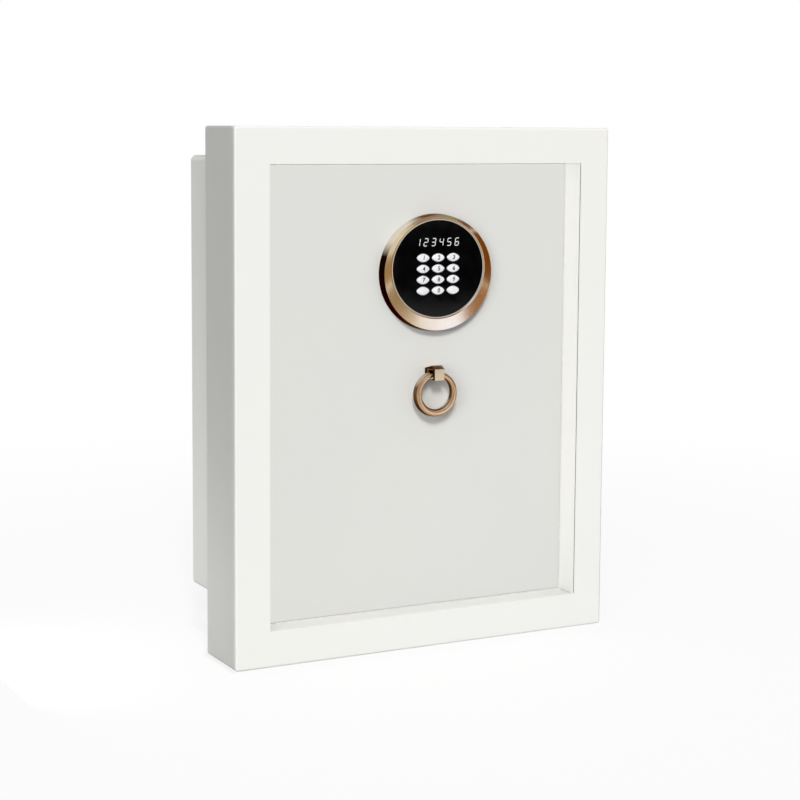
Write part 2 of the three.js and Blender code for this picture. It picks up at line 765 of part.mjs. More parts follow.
// Flanged hinge bush, built upwards from the opening's edge. The lower one is turned over and
// has a nose that carries the door.
function hingeBush(nose) {
  const bore = HINGE_PIN_RADIUS + RUNNING;
  const wall = bore + BUSH_WALL;
  const flange = FRAME_SHEET + SEAT;
  return turned(
    [
      [bore, -nose],
      [wall, -nose],
      [wall, flange],
      [wall + BUSH_FLANGE, flange],
      [wall + BUSH_FLANGE, flange + BUSH_FLANGE_THICKNESS],
      [wall, flange + BUSH_FLANGE_THICKNESS],
      [wall, BUSH_LENGTH],
      [bore, BUSH_LENGTH],
    ],
    "z",
    [0, 0],
    COARSE,
  );
}
const upperBush = piece("hinge_bush_top", hingeBush(0), brass, safe);
upperBush.position.set(hingeX, hingeY, openTop);
const lowerBush = piece("hinge_bush_bottom", hingeBush(DOOR_GAP - SEAT), brass, safe);
lowerBush.position.set(hingeX, hingeY, openBottom);
lowerBush.rotation.x = Math.PI;

// Rubber buffer with a stem and a bulb that snaps into the stop frame
function doorBuffer() {
  const face = doorBack + SEAT;
  const seat = stopFront - SEAT;
  const held = stopBack + SEAT;
  return turned(
    [
      [0, face],
      [BUFFER_RADIUS * 0.7, face],
      [BUFFER_RADIUS * 0.94, face + BUFFER_RADIUS * 0.2],
      [BUFFER_RADIUS, face + BUFFER_RADIUS * 0.5],
      [BUFFER_RADIUS, seat],
      [BUFFER_STEM_RADIUS, seat],
      [BUFFER_STEM_RADIUS, held],
      [BUFFER_BULB_RADIUS, held],
      [BUFFER_STEM_RADIUS, held + BUFFER_BULB_LENGTH],
      [0, held + BUFFER_BULB_LENGTH],
    ],
    "y",
    [0, 0],
    COARSE,
  );
}
bufferRows.forEach((z, i) => {
  const name = i === 0 ? "door_buffer_top" : "door_buffer_bottom";
  piece(name, doorBuffer(), rubber, safe, [bufferX, 0, z]);
});

// Door plate, with what is welded to its back: hinge blocks and the posts for the inner cover
// and the control board
function doorPlate() {
  const plate = prism(
    roundedRect(-doorX, doorBottom, doorX, doorTop, DOOR_CORNER),
    "y",
    doorFront,
    doorBack,
    { edge: DOOR_EDGE, curve: 1, steps: 1 },
  );
  const hingeBlock = (z0, z1) =>
    block(
      hingeX - HINGE_BLOCK_OUT,
      hingeX + HINGE_BLOCK_IN,
      hingeY,
      doorBack + HINGE_BLOCK_DEPTH,
      z0,
      z1,
    );
  const coverPost = ([x, z]) =>
    rod(POST_RADIUS, "y", [x, z], doorBack - 1, coverInside - SEAT);
  const boardPost = ([x, z]) =>
    rod(POST_RADIUS, "y", [x, z], doorBack - 1, controlFront - SEAT);
  const whole = join(
    plate,
    hingeBlock(doorTop - HINGE_BLOCK_HEIGHT, doorTop - DOOR_EDGE),
    hingeBlock(doorBottom + DOOR_EDGE, doorBottom + HINGE_BLOCK_HEIGHT),
    ...coverPosts.map(coverPost),
    ...controlPosts.map(boardPost),
  );
  const pinHole = (z0, z1) =>
    rod(HINGE_PIN_RADIUS + RUNNING, "z", [hingeX, hingeY], z0, z1);
  const through = (radius, x, z) => rod(radius, "y", [x, z], doorFront - 1, doorBack + 1);
  const screwHole = SCREW_RADIUS + RUNNING;
  return cut(
    whole,
    pinHole(doorTop - HINGE_PIN_IN_DOOR - SEAT, doorTop + 1),
    pinHole(doorBottom - 1, doorBottom + HINGE_PIN_IN_DOOR + SEAT),
    through(CABLE_HOLE_RADIUS, KEYPAD_X, cableZ),
    through(screwHole, bezelX - keypadScrewX, bezelZ),
    through(screwHole, bezelX + keypadScrewX, bezelZ),
    through(screwHole, PULL_X, hookScrewZ),
    ...coverPosts.map(([x, z]) =>
      rod(
        screwHole,
        "y",
        [x, z],
        coverBack - SCREW_GRIP * 2 - SEAT,
        coverBack,
      ),
    ),
  );
}
piece("door_plate", doorPlate(), doorPaint, door);

function hingePin() {
  const tip = HINGE_PIN_RADIUS * 0.4;
  const end = DOOR_GAP + HINGE_PIN_OUT;
  return turned(
    [
      [0, -HINGE_PIN_IN_DOOR],
      [HINGE_PIN_RADIUS, -HINGE_PIN_IN_DOOR],
      [HINGE_PIN_RADIUS, end - tip],
      [HINGE_PIN_RADIUS - tip, end],
      [0, end],
    ],
    "z",
    [0, 0],
    COARSE,
  );
}
piece("hinge_pin_top", hingePin(), brightSteel, door, [hingeX, hingeY, doorTop]);
const lowerPin = piece("hinge_pin_bottom", hingePin(), brightSteel, door, [
  hingeX,
  hingeY,
  doorBottom,
]);
lowerPin.rotation.x = Math.PI;

// A ring of hoops round Y that needn't share a centre: each profile corner is [radius of its
// hoop, the hoop's centre, depth out from the door].
function eccentricRing(profile, segments) {
  const positions = [];
  const index = [];
  const count = profile.length;
  for (let i = 0; i < segments; i++) {
    const turn = (i / segments) * 2 * Math.PI;
    for (const [radius, [x, z], depth] of profile)
      positions.push(
        x + radius * KEYPAD_STRETCH * Math.cos(turn),
        out(depth),
        z + radius * Math.sin(turn),
      );
  }
  for (let i = 0; i < segments; i++) {
    const here = i * count;
    const next = ((i + 1) % segments) * count;
    for (let j = 0; j < count; j++) {
      const k = (j + 1) % count;
      index.push(here + j, next + j, next + k, here + j, next + k, here + k);
    }
  }
  const geometry = new THREE.BufferGeometry();
  geometry.setAttribute("position", new THREE.Float32BufferAttribute(positions, 3));
  geometry.setIndex(index);
  return solid(geometry);
}

// Bezel: a hollow casting with a wide bevel, a ledge behind the lens and two screw bosses
function keypadBezel() {
  const on = [0, 0];
  const off = [BEZEL_OFF_SIDE, -BEZEL_OFF_CENTRE];
  const lip = LENS_PROUD + TRIM_PROUD;
  const hollow = BEZEL_BASE_RADIUS - BEZEL_WALL;
  const ring = eccentricRing(
    [
      [BEZEL_BASE_RADIUS, off, SEAT],
      [BEZEL_FRONT_RADIUS + 0.5, off, BEZEL_EDGE_PROUD - 0.5],
      [BEZEL_FRONT_RADIUS, off, BEZEL_EDGE_PROUD],
      [bezelBore + 0.5, on, lip - 0.1],
      [bezelBore, on, lip - 0.4],
      [bezelBore, on, ledgeFront],
      [bezelBore - LEDGE_WIDTH, on, ledgeFront],
      [bezelBore - LEDGE_WIDTH, on, ledgeBack],
      [hollow, off, ledgeBack],
      [hollow, off, SEAT],
    ],
    FINE,
  );
  const bosses = [-1, 1].map((side) => {
    const centre = [BEZEL_OFF_SIDE + side * keypadScrewX, -BEZEL_OFF_CENTRE];
    return cut(
      rod(KEYPAD_BOSS_RADIUS, "y", centre, out(ledgeBack + 0.5), out(SEAT)),
      rod(SCREW_RADIUS + RUNNING, "y", centre, out(SCREW_GRIP + SEAT), out(0)),
    );
  });
  return join(ring, ...bosses);
}
piece("keypad_bezel", keypadBezel(), roseGold, door, [KEYPAD_X, 0, lensZ]);

const trimRing = eccentricRing(
  [
    [trimInner, [0, 0], ledgeFront + SEAT],
    [trimOuter, [0, 0], ledgeFront + SEAT],
    [trimOuter, [0, 0], LENS_PROUD + TRIM_PROUD / 2],
    [(trimInner + trimOuter) / 2, [0, 0], LENS_PROUD + TRIM_PROUD],
    [trimInner, [0, 0], LENS_PROUD + TRIM_PROUD / 2],
  ],
  FINE,
);
piece("keypad_trim_ring", trimRing, paleGold, door, [KEYPAD_X, 0, lensZ]);

// A solid whose rings are key ovals, grown or shrunk: profile corners are [growth, depth]
function keyForm(profile, x = 0, z = 0) {
  const pointed = (value) => Math.sign(value) * Math.abs(value) ** KEY_POINT;
  const positions = [];
  for (const [grow, depth] of profile)
    for (let i = 0; i < KEY_SIDES; i++) {
      const turn = (i / KEY_SIDES) * 2 * Math.PI;
      positions.push(
        x + (KEY_WIDTH / 2 + grow) * pointed(Math.cos(turn)),
        out(depth),
        z + (KEY_HEIGHT / 2 + grow) * pointed(Math.sin(turn)),
      );
    }
  const index = [];
  const last = (profile.length - 1) * KEY_SIDES;
  for (let i = 0; i < KEY_SIDES; i++) {
    const j = (i + 1) % KEY_SIDES;
    for (let base = 0; base < last; base += KEY_SIDES) {
      const next = base + KEY_SIDES;
      index.push(base + i, base + j, next + j, base + i, next + j, next + i);
    }
    if (i > 0 && j > 0) index.push(0, j, i, last, last + i, last + j);
  }
  const geometry = new THREE.BufferGeometry();
  geometry.setAttribute("position", new THREE.Float32BufferAttribute(positions, 3));
  geometry.setIndex(index);
  return solid(geometry);
}

function keypadLens() {
  const halfWidth = LENS_RADIUS * KEYPAD_STRETCH;
  const disc = new THREE.Shape().absellipse(0, 0, halfWidth, LENS_RADIUS, 0, 2 * Math.PI);
  const holes = keyColumns.flatMap((x) =>
    keyRows.map((z) =>
      keyForm([[RUNNING, LENS_PROUD + 1], [RUNNING, lensBack - 1]], x, z),
    ),
  );
  const plate = prism(disc, "y", out(LENS_PROUD), out(lensBack), { curve: FINE / 2 });
  return cut(plate, ...holes);
}
piece("keypad_lens", keypadLens(), blackGlass, door, [KEYPAD_X, 0, lensZ]);

// A key: a domed cap that comes up through the lens, a flange that holds it behind, and a
// stem over the rubber membrane
function key() {
  const flangeFront = lensBack - SEAT;
  const flangeBack = flangeFront - KEY_FLANGE_THICKNESS;
  const stemEnd = membraneFront + SEAT + KEY_TRAVEL;
  const front = LENS_PROUD + KEY_PROUD;
  return keyForm([
    [-KEY_EDGE, front],
    [0, front - KEY_EDGE],
    [0, flangeFront],
    [KEY_FLANGE, flangeFront],
    [KEY_FLANGE, flangeBack],
    [-KEY_STEM_INSET, flangeBack],
    [-KEY_STEM_INSET, stemEnd],
  ]);
}
const keyNames = [
  ["key_1", "key_2", "key_3"],
  ["key_4", "key_5", "key_6"],
  ["key_7", "key_8", "key_9"],
  ["key_left", "key_0", "key_right"],
];
const keySolid = key();
keyRows.forEach((z, row) =>
  keyColumns.forEach((x, column) => {
    const keyGroup = pivoted(door, KEYPAD_X + x, 0, lensZ + z);
    piece(keyNames[row][column], keySolid, keyWhite, keyGroup, [KEYPAD_X + x, 0, lensZ + z]);
  }),
);

piece(
  "display_module",
  block(
    KEYPAD_X - DISPLAY_WIDTH / 2,
    KEYPAD_X + DISPLAY_WIDTH / 2,
    out(lensBack - SEAT),
    out(boardFront + SEAT),
    lensZ + DISPLAY_RISE - DISPLAY_HEIGHT / 2,
    lensZ + DISPLAY_RISE + DISPLAY_HEIGHT / 2,
  ),
  blackPlastic,
  door,
);

// Rubber membrane, one sheet under all the keys
function keypadMembrane() {
  const halfX = KEY_PITCH_X + KEY_WIDTH / 2 + MEMBRANE_MARGIN;
  const halfZ = KEY_PITCH_Z * 1.5 + KEY_HEIGHT / 2 + MEMBRANE_MARGIN;
  return prism(
    roundedRect(-halfX, -halfZ - KEYS_DROP, halfX, halfZ - KEYS_DROP, 4),
    "y",
    out(membraneFront),
    out(membraneBack),
  );
}
piece("keypad_membrane", keypadMembrane(), rubber, door, [KEYPAD_X, 0, lensZ]);

piece(
  "keypad_board",
  rod(
    KEYPAD_BOARD_RADIUS,
    "y",
    [KEYPAD_X, lensZ],
    out(boardFront),
    out(BOARD_STANDOFF),
    MEDIUM,
  ),
  boardGreen,
  door,
);

// A pan-head screw along Y with its shank towards -Y; the origin is where the head seats
function screw(grip) {
  return turned(
    [
      [0, -grip],
      [SCREW_RADIUS, -grip],
      [SCREW_RADIUS, 0],
      [SCREW_HEAD_RADIUS, 0],
      [SCREW_HEAD_RADIUS, SCREW_HEAD_HEIGHT * 0.55],
      [SCREW_HEAD_RADIUS * 0.7, SCREW_HEAD_HEIGHT],
      [0, SCREW_HEAD_HEIGHT],
    ],
    "y",
    [0, 0],
    COARSE,
  );
}
const doorScrew = screw(SEAT + DOOR_THICKNESS + SCREW_GRIP);
["left", "right"].forEach((side, i) => {
  const x = bezelX + (i === 0 ? -keypadScrewX : keypadScrewX);
  piece("keypad_screw_" + side, doorScrew, zinc, door, [x, doorBack + SEAT, bezelZ]);
});

// Ring bracket: a square hook, with a foot on the door, an arm over the ring, a flat front
// plate and a lip that turns back under the ring
function ringBracket() {
  const back = out(SEAT);
  const hook = polygon([
    [back, hookLipTop],
    [hookFootFace, hookLipTop],
    [hookFootFace, hookArmBottom],
    [hookPlateBack, hookArmBottom],
    [hookPlateBack, hookLipTop],
    [hookPlateBack + HOOK_LIP_LENGTH, hookLipTop],
    [hookPlateBack + HOOK_LIP_LENGTH, hookBottom],
    [hookPlateFront, hookBottom],
    [hookPlateFront, hookTop - HOOK_CHAMFER_DROP],
    [hookPlateFront + HOOK_CHAMFER_DEPTH, hookTop],
    [back, hookTop],
  ]);
  const body = prism(hook, "x", PULL_X - HOOK_WIDTH / 2, PULL_X + HOOK_WIDTH / 2, {
    edge: HOOK_EDGE,
    steps: 1,
  });
  const pilot = rod(
    SCREW_RADIUS + RUNNING,
    "y",
    [PULL_X, hookScrewZ],
    out(SCREW_GRIP + SEAT),
    out(0),
  );
  return body.subtract(pilot);
}
piece("ring_bracket", ringBracket(), roseGold, door);
piece("bracket_screw", doorScrew, zinc, door, [PULL_X, doorBack + SEAT, hookScrewZ]);

// Each corner of an outline is eased by a straight cut of this length along both its sides
function eased(corners, length) {
  return corners.flatMap((corner, i) =>
    [corners.at(i - 1), corners[(i + 1) % corners.length]].map((neighbour) => {
      const here = new THREE.Vector2(...corner);
      const way = new THREE.Vector2(...neighbour).sub(here).setLength(length);
      return here.add(way).toArray();
    }),
  );
}

// Pull ring: an eased section turned about the ring's own centre, hanging from its pivot
function pullRing() {
  const section = [
    [RING_BORE, -RING_DEPTH / 2],
    [RING_OUTSIDE, -RING_DEPTH / 2],
    [RING_OUTSIDE + RING_OUTSIDE_FLARE, RING_DEPTH / 2],
    [RING_BORE + RING_BORE_FLARE, RING_DEPTH / 2],
  ];
  return turned(eased(section, RING_EASE), "y", [0, 0], RING_STEPS);
}
piece("pull_ring", pullRing(), roseGold, ring, [PULL_X, pullY, pullZ - ringRadius]);

// Lock chassis: a tray with one upturned side and two lanced tabs, which guide the bolts
function lockChassis() {
  const floor = block(
    chassisLeft,
    chassisRight,
    chassisFront,
    chassisFloor,
    doorMiddle - chassisHalf,
    doorMiddle + chassisHalf,
  );
  const side = block(
    chassisRight,
    chassisRight + CHASSIS_SHEET,
    chassisFront,
    guideBack,
    doorMiddle - chassisHalf,
    doorMiddle + chassisHalf,
  );
  const half = GUIDE_TAB_WIDTH / 2;
  const tabs = boltRows.map((z) =>
    block(guideX, guideX + CHASSIS_SHEET, chassisFront, guideBack, z - half, z + half),
  );
  const tabHeight = guideBack - chassisFloor;
  const windows = boltRows.map((z) =>
    block(
      guideX + CHASSIS_SHEET,
      Math.min(guideX + CHASSIS_SHEET + tabHeight, chassisRight - CHASSIS_SHEET),
      chassisFront - 1,
      chassisFloor + 1,
      z - half,
      z + half,
    ),
  );
  const boltHoles = boltRows.map((z) =>
    rod(
      BOLT_RADIUS + RUNNING,
      "x",
      [boltY, z],
      guideX - 1,
      chassisRight + CHASSIS_SHEET + 1,
      MEDIUM,
    ),
  );
  return cut(join(floor, side, ...tabs), ...windows, ...boltHoles);
}
piece("lock_chassis", lockChassis(), zinc, door);

// Gearbox with the hole for the output shaft, and the motor on top of it
function gearbox() {
  const half = GEARBOX_WIDTH / 2;
  const box = prism(
    roundedRect(
      pinionX - half,
      pinionZ - GEARBOX_BELOW,
      pinionX + half,
      gearboxTop,
      GEARBOX_CORNER,
    ),
    "y",
    gearboxFront,
    gearboxBack,
  );
  const shaftHole = rod(
    SHAFT_RADIUS + RUNNING,
    "y",
    [pinionX, pinionZ],
    gearboxBack - SHAFT_DEPTH - SEAT,
    gearboxBack + 1,
  );
  return box.subtract(shaftHole);
}
piece("gearbox", gearbox(), blackPlastic, door);

function driveMotor() {
  const middle = (gearboxFront + gearboxBack) / 2;
  const start = gearboxTop + SEAT;
  const can = turned(
    [
      [0, start],
      [MOTOR_RADIUS, start],
      [MOTOR_RADIUS, start + MOTOR_LENGTH - 1],
      [MOTOR_RADIUS - 1, start + MOTOR_LENGTH],
      [MOTOR_RADIUS * 0.35, start + MOTOR_LENGTH],
      [MOTOR_RADIUS * 0.35, start + MOTOR_LENGTH + 2],
      [0, start + MOTOR_LENGTH + 2],
    ],
    "z",
    [pinionX, middle],
    MEDIUM,
  );
  // Two flats, as on a flat-sided can motor
  const flat = MOTOR_RADIUS * 0.8;
  const between = block(
    pinionX - MOTOR_RADIUS - 1,
    pinionX + MOTOR_RADIUS + 1,
    middle - flat,
    middle + flat,
    start - 1,
    start + MOTOR_LENGTH + 3,
  );
  return can.intersect(between);
}
piece("drive_motor", driveMotor(), zinc, door);

// Bolts on their bar. Each bolt has a spigot through the bar and a chamfered nose.
function lockBolt() {
  const nose = BOLT_CHAMFER;
  return turned(
    [
      [0, barLeft - SEAT],
      [BOLT_SPIGOT_RADIUS, barLeft - SEAT],
      [BOLT_SPIGOT_RADIUS, barRight + SEAT],
      [BOLT_RADIUS, barRight + SEAT],
      [BOLT_RADIUS, boltTip - nose],
      [BOLT_RADIUS - nose, boltTip],
      [0, boltTip],
    ],
    "x",
    [0, 0],
    MEDIUM,
  );
}
["bolt_top", "bolt_bottom"].forEach((name, i) =>
  piece(name, lockBolt(), brightSteel, boltWork, [0, boltY, boltRows[i]]),
);

const rackBottom = doorMiddle - DEDENDUM * MODULE - RACK_BODY;
const rackTop = doorMiddle - DEDENDUM * MODULE;

function boltBar() {
  const half = BOLT_SPACING / 2 + BOLT_RADIUS + 2;
  const bar = prism(
    roundedRect(boltY - BOLT_RADIUS, doorMiddle - half, gearBack + 2.5, doorMiddle + half, 3),
    "x",
    barLeft,
    barRight,
  );
  const spigots = boltRows.map((z) =>
    rod(BOLT_SPIGOT_RADIUS + RUNNING, "x", [boltY, z], barLeft - 1, barRight + 1),
  );
  const rackSlot = block(
    barLeft - 1,
    barRight + 1,
    gearFront - SEAT,
    gearBack + SEAT,
    rackBottom - SEAT,
    rackTop + SEAT,
  );
  return cut(bar, rackSlot, ...spigots);
}
piece("bolt_bar", boltBar(), zinc, boltWork);

// Rack: straight-flanked teeth over a flat body whose tail passes through the bar. One tooth
// stands right under the pinion, so the pair is in mesh at rest.
function boltRack() {
  const pitch = Math.PI * MODULE;
  const slope = Math.tan(PRESSURE_ANGLE);
  const halfAtPitch = (pitch / 2 - BACKLASH) / 2;
  const tip = ADDENDUM * MODULE;
  const root = DEDENDUM * MODULE;
  const start = pinionX - boltThrow - 2.5 * pitch;
  const outline = [
    [barRight + 1, rackTop],
    [barRight + 1, rackBottom],
    [start, rackBottom],
    [start, rackTop],
  ];
  const first = Math.ceil((start - pinionX) / pitch + 0.5);
  const last = Math.floor((barLeft - SEAT - pinionX) / pitch - 0.5);
  for (let k = first; k <= last; k++) {
    const x = pinionX + k * pitch;
    const wide = halfAtPitch + root * slope;
    const narrow = halfAtPitch - tip * slope;
    outline.push([x - wide, rackTop]);
    outline.push([x - narrow, doorMiddle + tip]);
    outline.push([x + narrow, doorMiddle + tip]);
    outline.push([x + wide, rackTop]);
  }
  return prism(polygon(outline), "y", gearFront, gearBack);
}
piece("bolt_rack", boltRack(), brightSteel, boltWork);

// Pinion: involute flanks from the base circle out, with a gap straight down at rest, a hub
// and the shaft that turns in the gearbox
function drivePinion() {
  const base = pitchRadius * Math.cos(PRESSURE_ANGLE);
  const tip = pitchRadius + ADDENDUM * MODULE;
  const root = pitchRadius - DEDENDUM * MODULE;
  const involute = (angle) => Math.tan(angle) - angle;
  const halfAtPitch = (Math.PI * MODULE * 0.5 - BACKLASH) / 2 / pitchRadius;
  const halfAt = (radius) =>
    halfAtPitch + involute(PRESSURE_ANGLE) - involute(Math.acos(Math.min(1, base / radius)));
  const start = Math.max(base, root);
  const flank = [0, 0.45, 1].map((part) => start + (tip - start) * part);
  const outline = [];
  const add = (radius, angle) =>
    outline.push([radius * Math.cos(angle), radius * Math.sin(angle)]);
  for (let tooth = 0; tooth < PINION_TEETH; tooth++) {
    const middle = -Math.PI / 2 + ((tooth + 0.5) / PINION_TEETH) * 2 * Math.PI;
    add(root, middle - halfAt(base));
    flank.forEach((radius) => add(radius, middle - halfAt(radius)));
    [...flank].reverse().forEach((radius) => add(radius, middle + halfAt(radius)));
    add(root, middle + halfAt(base));
  }
  return join(
    prism(polygon(outline), "y", gearFront, gearBack),
    rod(HUB_RADIUS, "y", [0, 0], gearBack - 0.5, gearBack + HUB_LENGTH, MEDIUM),
    rod(SHAFT_RADIUS, "y", [0, 0], gearboxBack - SHAFT_DEPTH, gearFront + 0.5),
  );
}
piece("drive_pinion", drivePinion(), brass, pinion, [pinionX, 0, pinionZ]);

// Control board with its socket, relay, terminals, capacitors, buzzer and the reset switch
function controlBoard() {
  const board = block(
    controlLeft,
    controlRight,
    controlFront,
    controlBack,
    controlBottom,
    controlTop,
  );
  const socketHalf = CABLE_WIDTH / 2 + SOCKET_MARGIN;
  const socket = block(
    controlRight - SOCKET_WIDTH,
    controlRight,
    controlFront - SOCKET_HEIGHT,
    controlFront + FILLET_SINK,
    cableZ - socketHalf,
    cableZ + socketHalf,
  );
  const sunk = controlBack - FILLET_SINK;
  const box = (x, z, width, length, height) =>
    block(
      controlLeft + x,
      controlLeft + x + width,
      sunk,
      controlBack + height,
      controlBottom + z,
      controlBottom + z + length,
    );
  const can = (radius, x, z, height) =>
    rod(radius, "y", [controlLeft + x, controlBottom + z], sunk, controlBack + height);
  const switchX = buttonX - controlLeft - SWITCH_SIZE / 2;
  const switchZ = buttonZ - controlBottom - SWITCH_SIZE / 2;
  return join(
    board,
    socket,
    box(RELAY_X, RELAY_Z, RELAY_WIDTH, RELAY_LENGTH, RELAY_HEIGHT),
    box(TERMINAL_X, TERMINAL_Z, TERMINAL_WIDTH, TERMINAL_LENGTH, TERMINAL_HEIGHT),
    box(switchX, switchZ, SWITCH_SIZE, SWITCH_SIZE, SWITCH_HEIGHT),
    can(CAPACITOR_RADIUS, CAPACITOR_X, CAPACITOR_Z, CAPACITOR_HEIGHT),
    can(CAPACITOR_RADIUS, CAPACITOR_X + CAPACITOR_PITCH, CAPACITOR_Z, CAPACITOR_HEIGHT),
    can(BUZZER_RADIUS, BUZZER_X, BUZZER_Z, BUZZER_HEIGHT),
  );
}
piece("control_board", controlBoard(), boardGreen, door);

// Ribbon cable from the keypad's board through the door to the control board
function keypadCable() {
  const start = out(SEAT);
  const end = controlFront - SOCKET_HEIGHT / 2;
  const path = new THREE.SplineCurve([
    new THREE.Vector2(KEYPAD_X, start),
    new THREE.Vector2(KEYPAD_X, doorBack + 1),
    new THREE.Vector2(KEYPAD_X - CABLE_BEND, (doorBack + end) / 2),
    new THREE.Vector2((KEYPAD_X + controlRight) / 2, end - 1),
    new THREE.Vector2(controlRight + SEAT, end),
  ]);
  const steps = 14;
  const side = (sign) =>
    Array.from({ length: steps + 1 }, (_, i) => {
      const at = path.getPointAt(i / steps);
      const along = path.getTangentAt(i / steps);
      const shift = (sign * CABLE_THICKNESS) / 2;
      return [at.x - along.y * shift, at.y + along.x * shift];
    });
  const outline = polygon([...side(1), ...side(-1).reverse()]);
  return prism(outline, "z", cableZ - CABLE_WIDTH / 2, cableZ + CABLE_WIDTH / 2);
}
piece("keypad_cable", keypadCable(), greyPlastic, door);

// Battery tray: a moulded box, hollow towards the door, with a cradle for each cell
function batteryTray() {
  const outer = block(trayLeft, trayRight, doorBack + SEAT, trayBack, trayBottom, trayTop);
  const within = (y0, y1) =>
    block(
      trayLeft + TRAY_WALL,
      trayRight - TRAY_WALL,
      y0,
      y1,
      trayBottom + TRAY_WALL,
      trayTop - TRAY_WALL,
    );
  const cradles = cellRows.map((z) =>
    rod(
      CELL_RADIUS + RUNNING,
      "x",
      [cellY, z],
      trayLeft + TRAY_WALL,
      trayRight - TRAY_WALL,
      CELL_SIDES,
    ),
  );
  return cut(outer, within(cradleBack, trayBack + 1), within(doorBack, cradleFront), ...cradles);
}
piece("battery_tray", batteryTray(), blackPlastic, door);

function cell() {
  const can = CELL_LENGTH - CELL_NUB_LENGTH;
  return turned(
    [
      [0, 0],
      [CELL_RADIUS - 0.6, 0],
      [CELL_RADIUS, 0.6],
      [CELL_RADIUS, can - 0.6],
      [CELL_RADIUS - 0.6, can],
      [CELL_NUB_RADIUS, can],
      [CELL_NUB_RADIUS, CELL_LENGTH],
      [0, CELL_LENGTH],
    ],
    "x",
    [0, 0],
    CELL_SIDES,
  );
}
// Each cell lies the other way round from the one below it
cellRows.forEach((z, i) => {
  const turnedRound = i % 2 === 1;
  const x = trayX + (turnedRound ? CELL_LENGTH / 2 : -CELL_LENGTH / 2);
  const placed = piece("battery_" + (i + 1), cell(), cellWrap, door, [x, cellY, z]);
  if (turnedRound) placed.rotation.z = Math.PI;
});

// Inner cover: a sheet pan over the whole mechanism
function innerCover() {
  const outline = roundedRect(coverLeft, coverBottom, coverRight, coverTop, COVER_CORNER);
  const blank = prism(outline, "y", coverFront - 2 * COVER_BEND, coverBack, {
    edge: COVER_BEND,
  });
  const front = block(
    coverLeft - 1,
    coverRight + 1,
    coverFront - 3 * COVER_BEND,
    coverFront,
    coverBottom - 1,
    coverTop + 1,
  );
  const hollow = prism(
    roundedRect(
      coverLeft + COVER_SHEET,
      coverBottom + COVER_SHEET,
      coverRight - COVER_SHEET,
      coverTop - COVER_SHEET,
      COVER_CORNER - COVER_SHEET,
    ),
    "y",
    coverFront - 1,
    coverInside,
  );
  const boltHoles = boltRows.map((z) =>
    rod(
      BOLT_RADIUS + RUNNING,
      "x",
      [boltY, z],
      coverRight - COVER_SHEET - 1,
      coverRight + 1,
      MEDIUM,
    ),
  );
  const through = (radius, x, z) => rod(radius, "y", [x, z], coverInside - 1, coverBack + 1);
  const lidWay = block(
    lidLeft - LID_GAP,
    lidRight + LID_GAP,
    coverInside - 1,
    coverBack + 1,
    lidBottom - LID_GAP,
    lidTop + LID_GAP,
  );
  const slots = Array.from({ length: SLOT_COUNT }, (_, i) => {
    const x = controlLeft + BUZZER_X;
    const z = controlBottom + BUZZER_Z + (i - (SLOT_COUNT - 1) / 2) * SLOT_PITCH;
    const half = SLOT_LENGTH / 2;
    return prism(
      roundedRect(x - half, z - SLOT_WIDTH / 2, x + half, z + SLOT_WIDTH / 2, SLOT_WIDTH / 2),
      "y",
      coverInside - 1,
      coverBack + 1,
      { curve: 1 },
    );
  });
  const knuckles = [lidLeft, lidRight - LID_KNUCKLE].map((x) =>
    knuckle(x, x + LID_KNUCKLE, lidBottom - LID_GAP - LID_BARREL_RADIUS, lidBottom - LID_GAP),
  );
  const pinWay = rod(
    LID_PIN_RADIUS + RUNNING,
    "x",
    [lidAxisY, lidBottom],
    lidLeft - 1,
    lidRight + 1,
  );
  const pan = join(cut(blank, front, hollow), bead(0, coverInside - BEAD_DEPTH, coverBack));
  return cut(
    join(
      cut(
        pan,
        bead(COVER_SHEET, coverBack - BEAD_DEPTH, coverBack + 2 * BEAD_EASE),
        lidWay,
        ...slots,
        ...boltHoles,
        through(BUTTON_RADIUS + RUNNING, buttonX, buttonZ),
        ...coverPosts.map(([x, z]) => through(SCREW_RADIUS + RUNNING, x, z)),
      ),
      ...knuckles,
    ),
    pinWay,
  );
}

// The form of the bead across the cover: its outer skin with no margin, or the groove that
// leaves the sheet's thickness all round
function bead(margin, from, to) {
  const half = BEAD_WIDTH / 2 - margin;
  const inset = BEAD_INSET + margin;
  return prism(
    roundedRect(coverLeft + inset, beadZ - half, coverRight - inset, beadZ + half, half * 0.8),
    "y",
    from,
    to,
    { edge: BEAD_EASE, curve: 1, steps: 1 },
  );
}

// A hinge knuckle on the lid's axis, with a web from its barrel to the sheet it is bent from
function knuckle(x0, x1, webBottom, webTop) {
  return join(
    rod(LID_BARREL_RADIUS, "x", [lidAxisY, lidBottom], x0, x1),
    block(x0, x1, coverBack - 0.5, lidAxisY, webBottom, webTop),
  );
}
piece("inner_cover", innerCover(), bodyPaint, door);

const coverScrew = screw(COVER_SHEET + SEAT + SCREW_GRIP);
coverPosts.forEach(([x, z], i) => {
  const side = i < 2 ? "left" : "right";
  const end = i % 2 === 0 ? "bottom" : "top";
  piece("cover_screw_" + side + "_" + end, coverScrew, zinc, door, [x, coverBack + SEAT, z]);
});

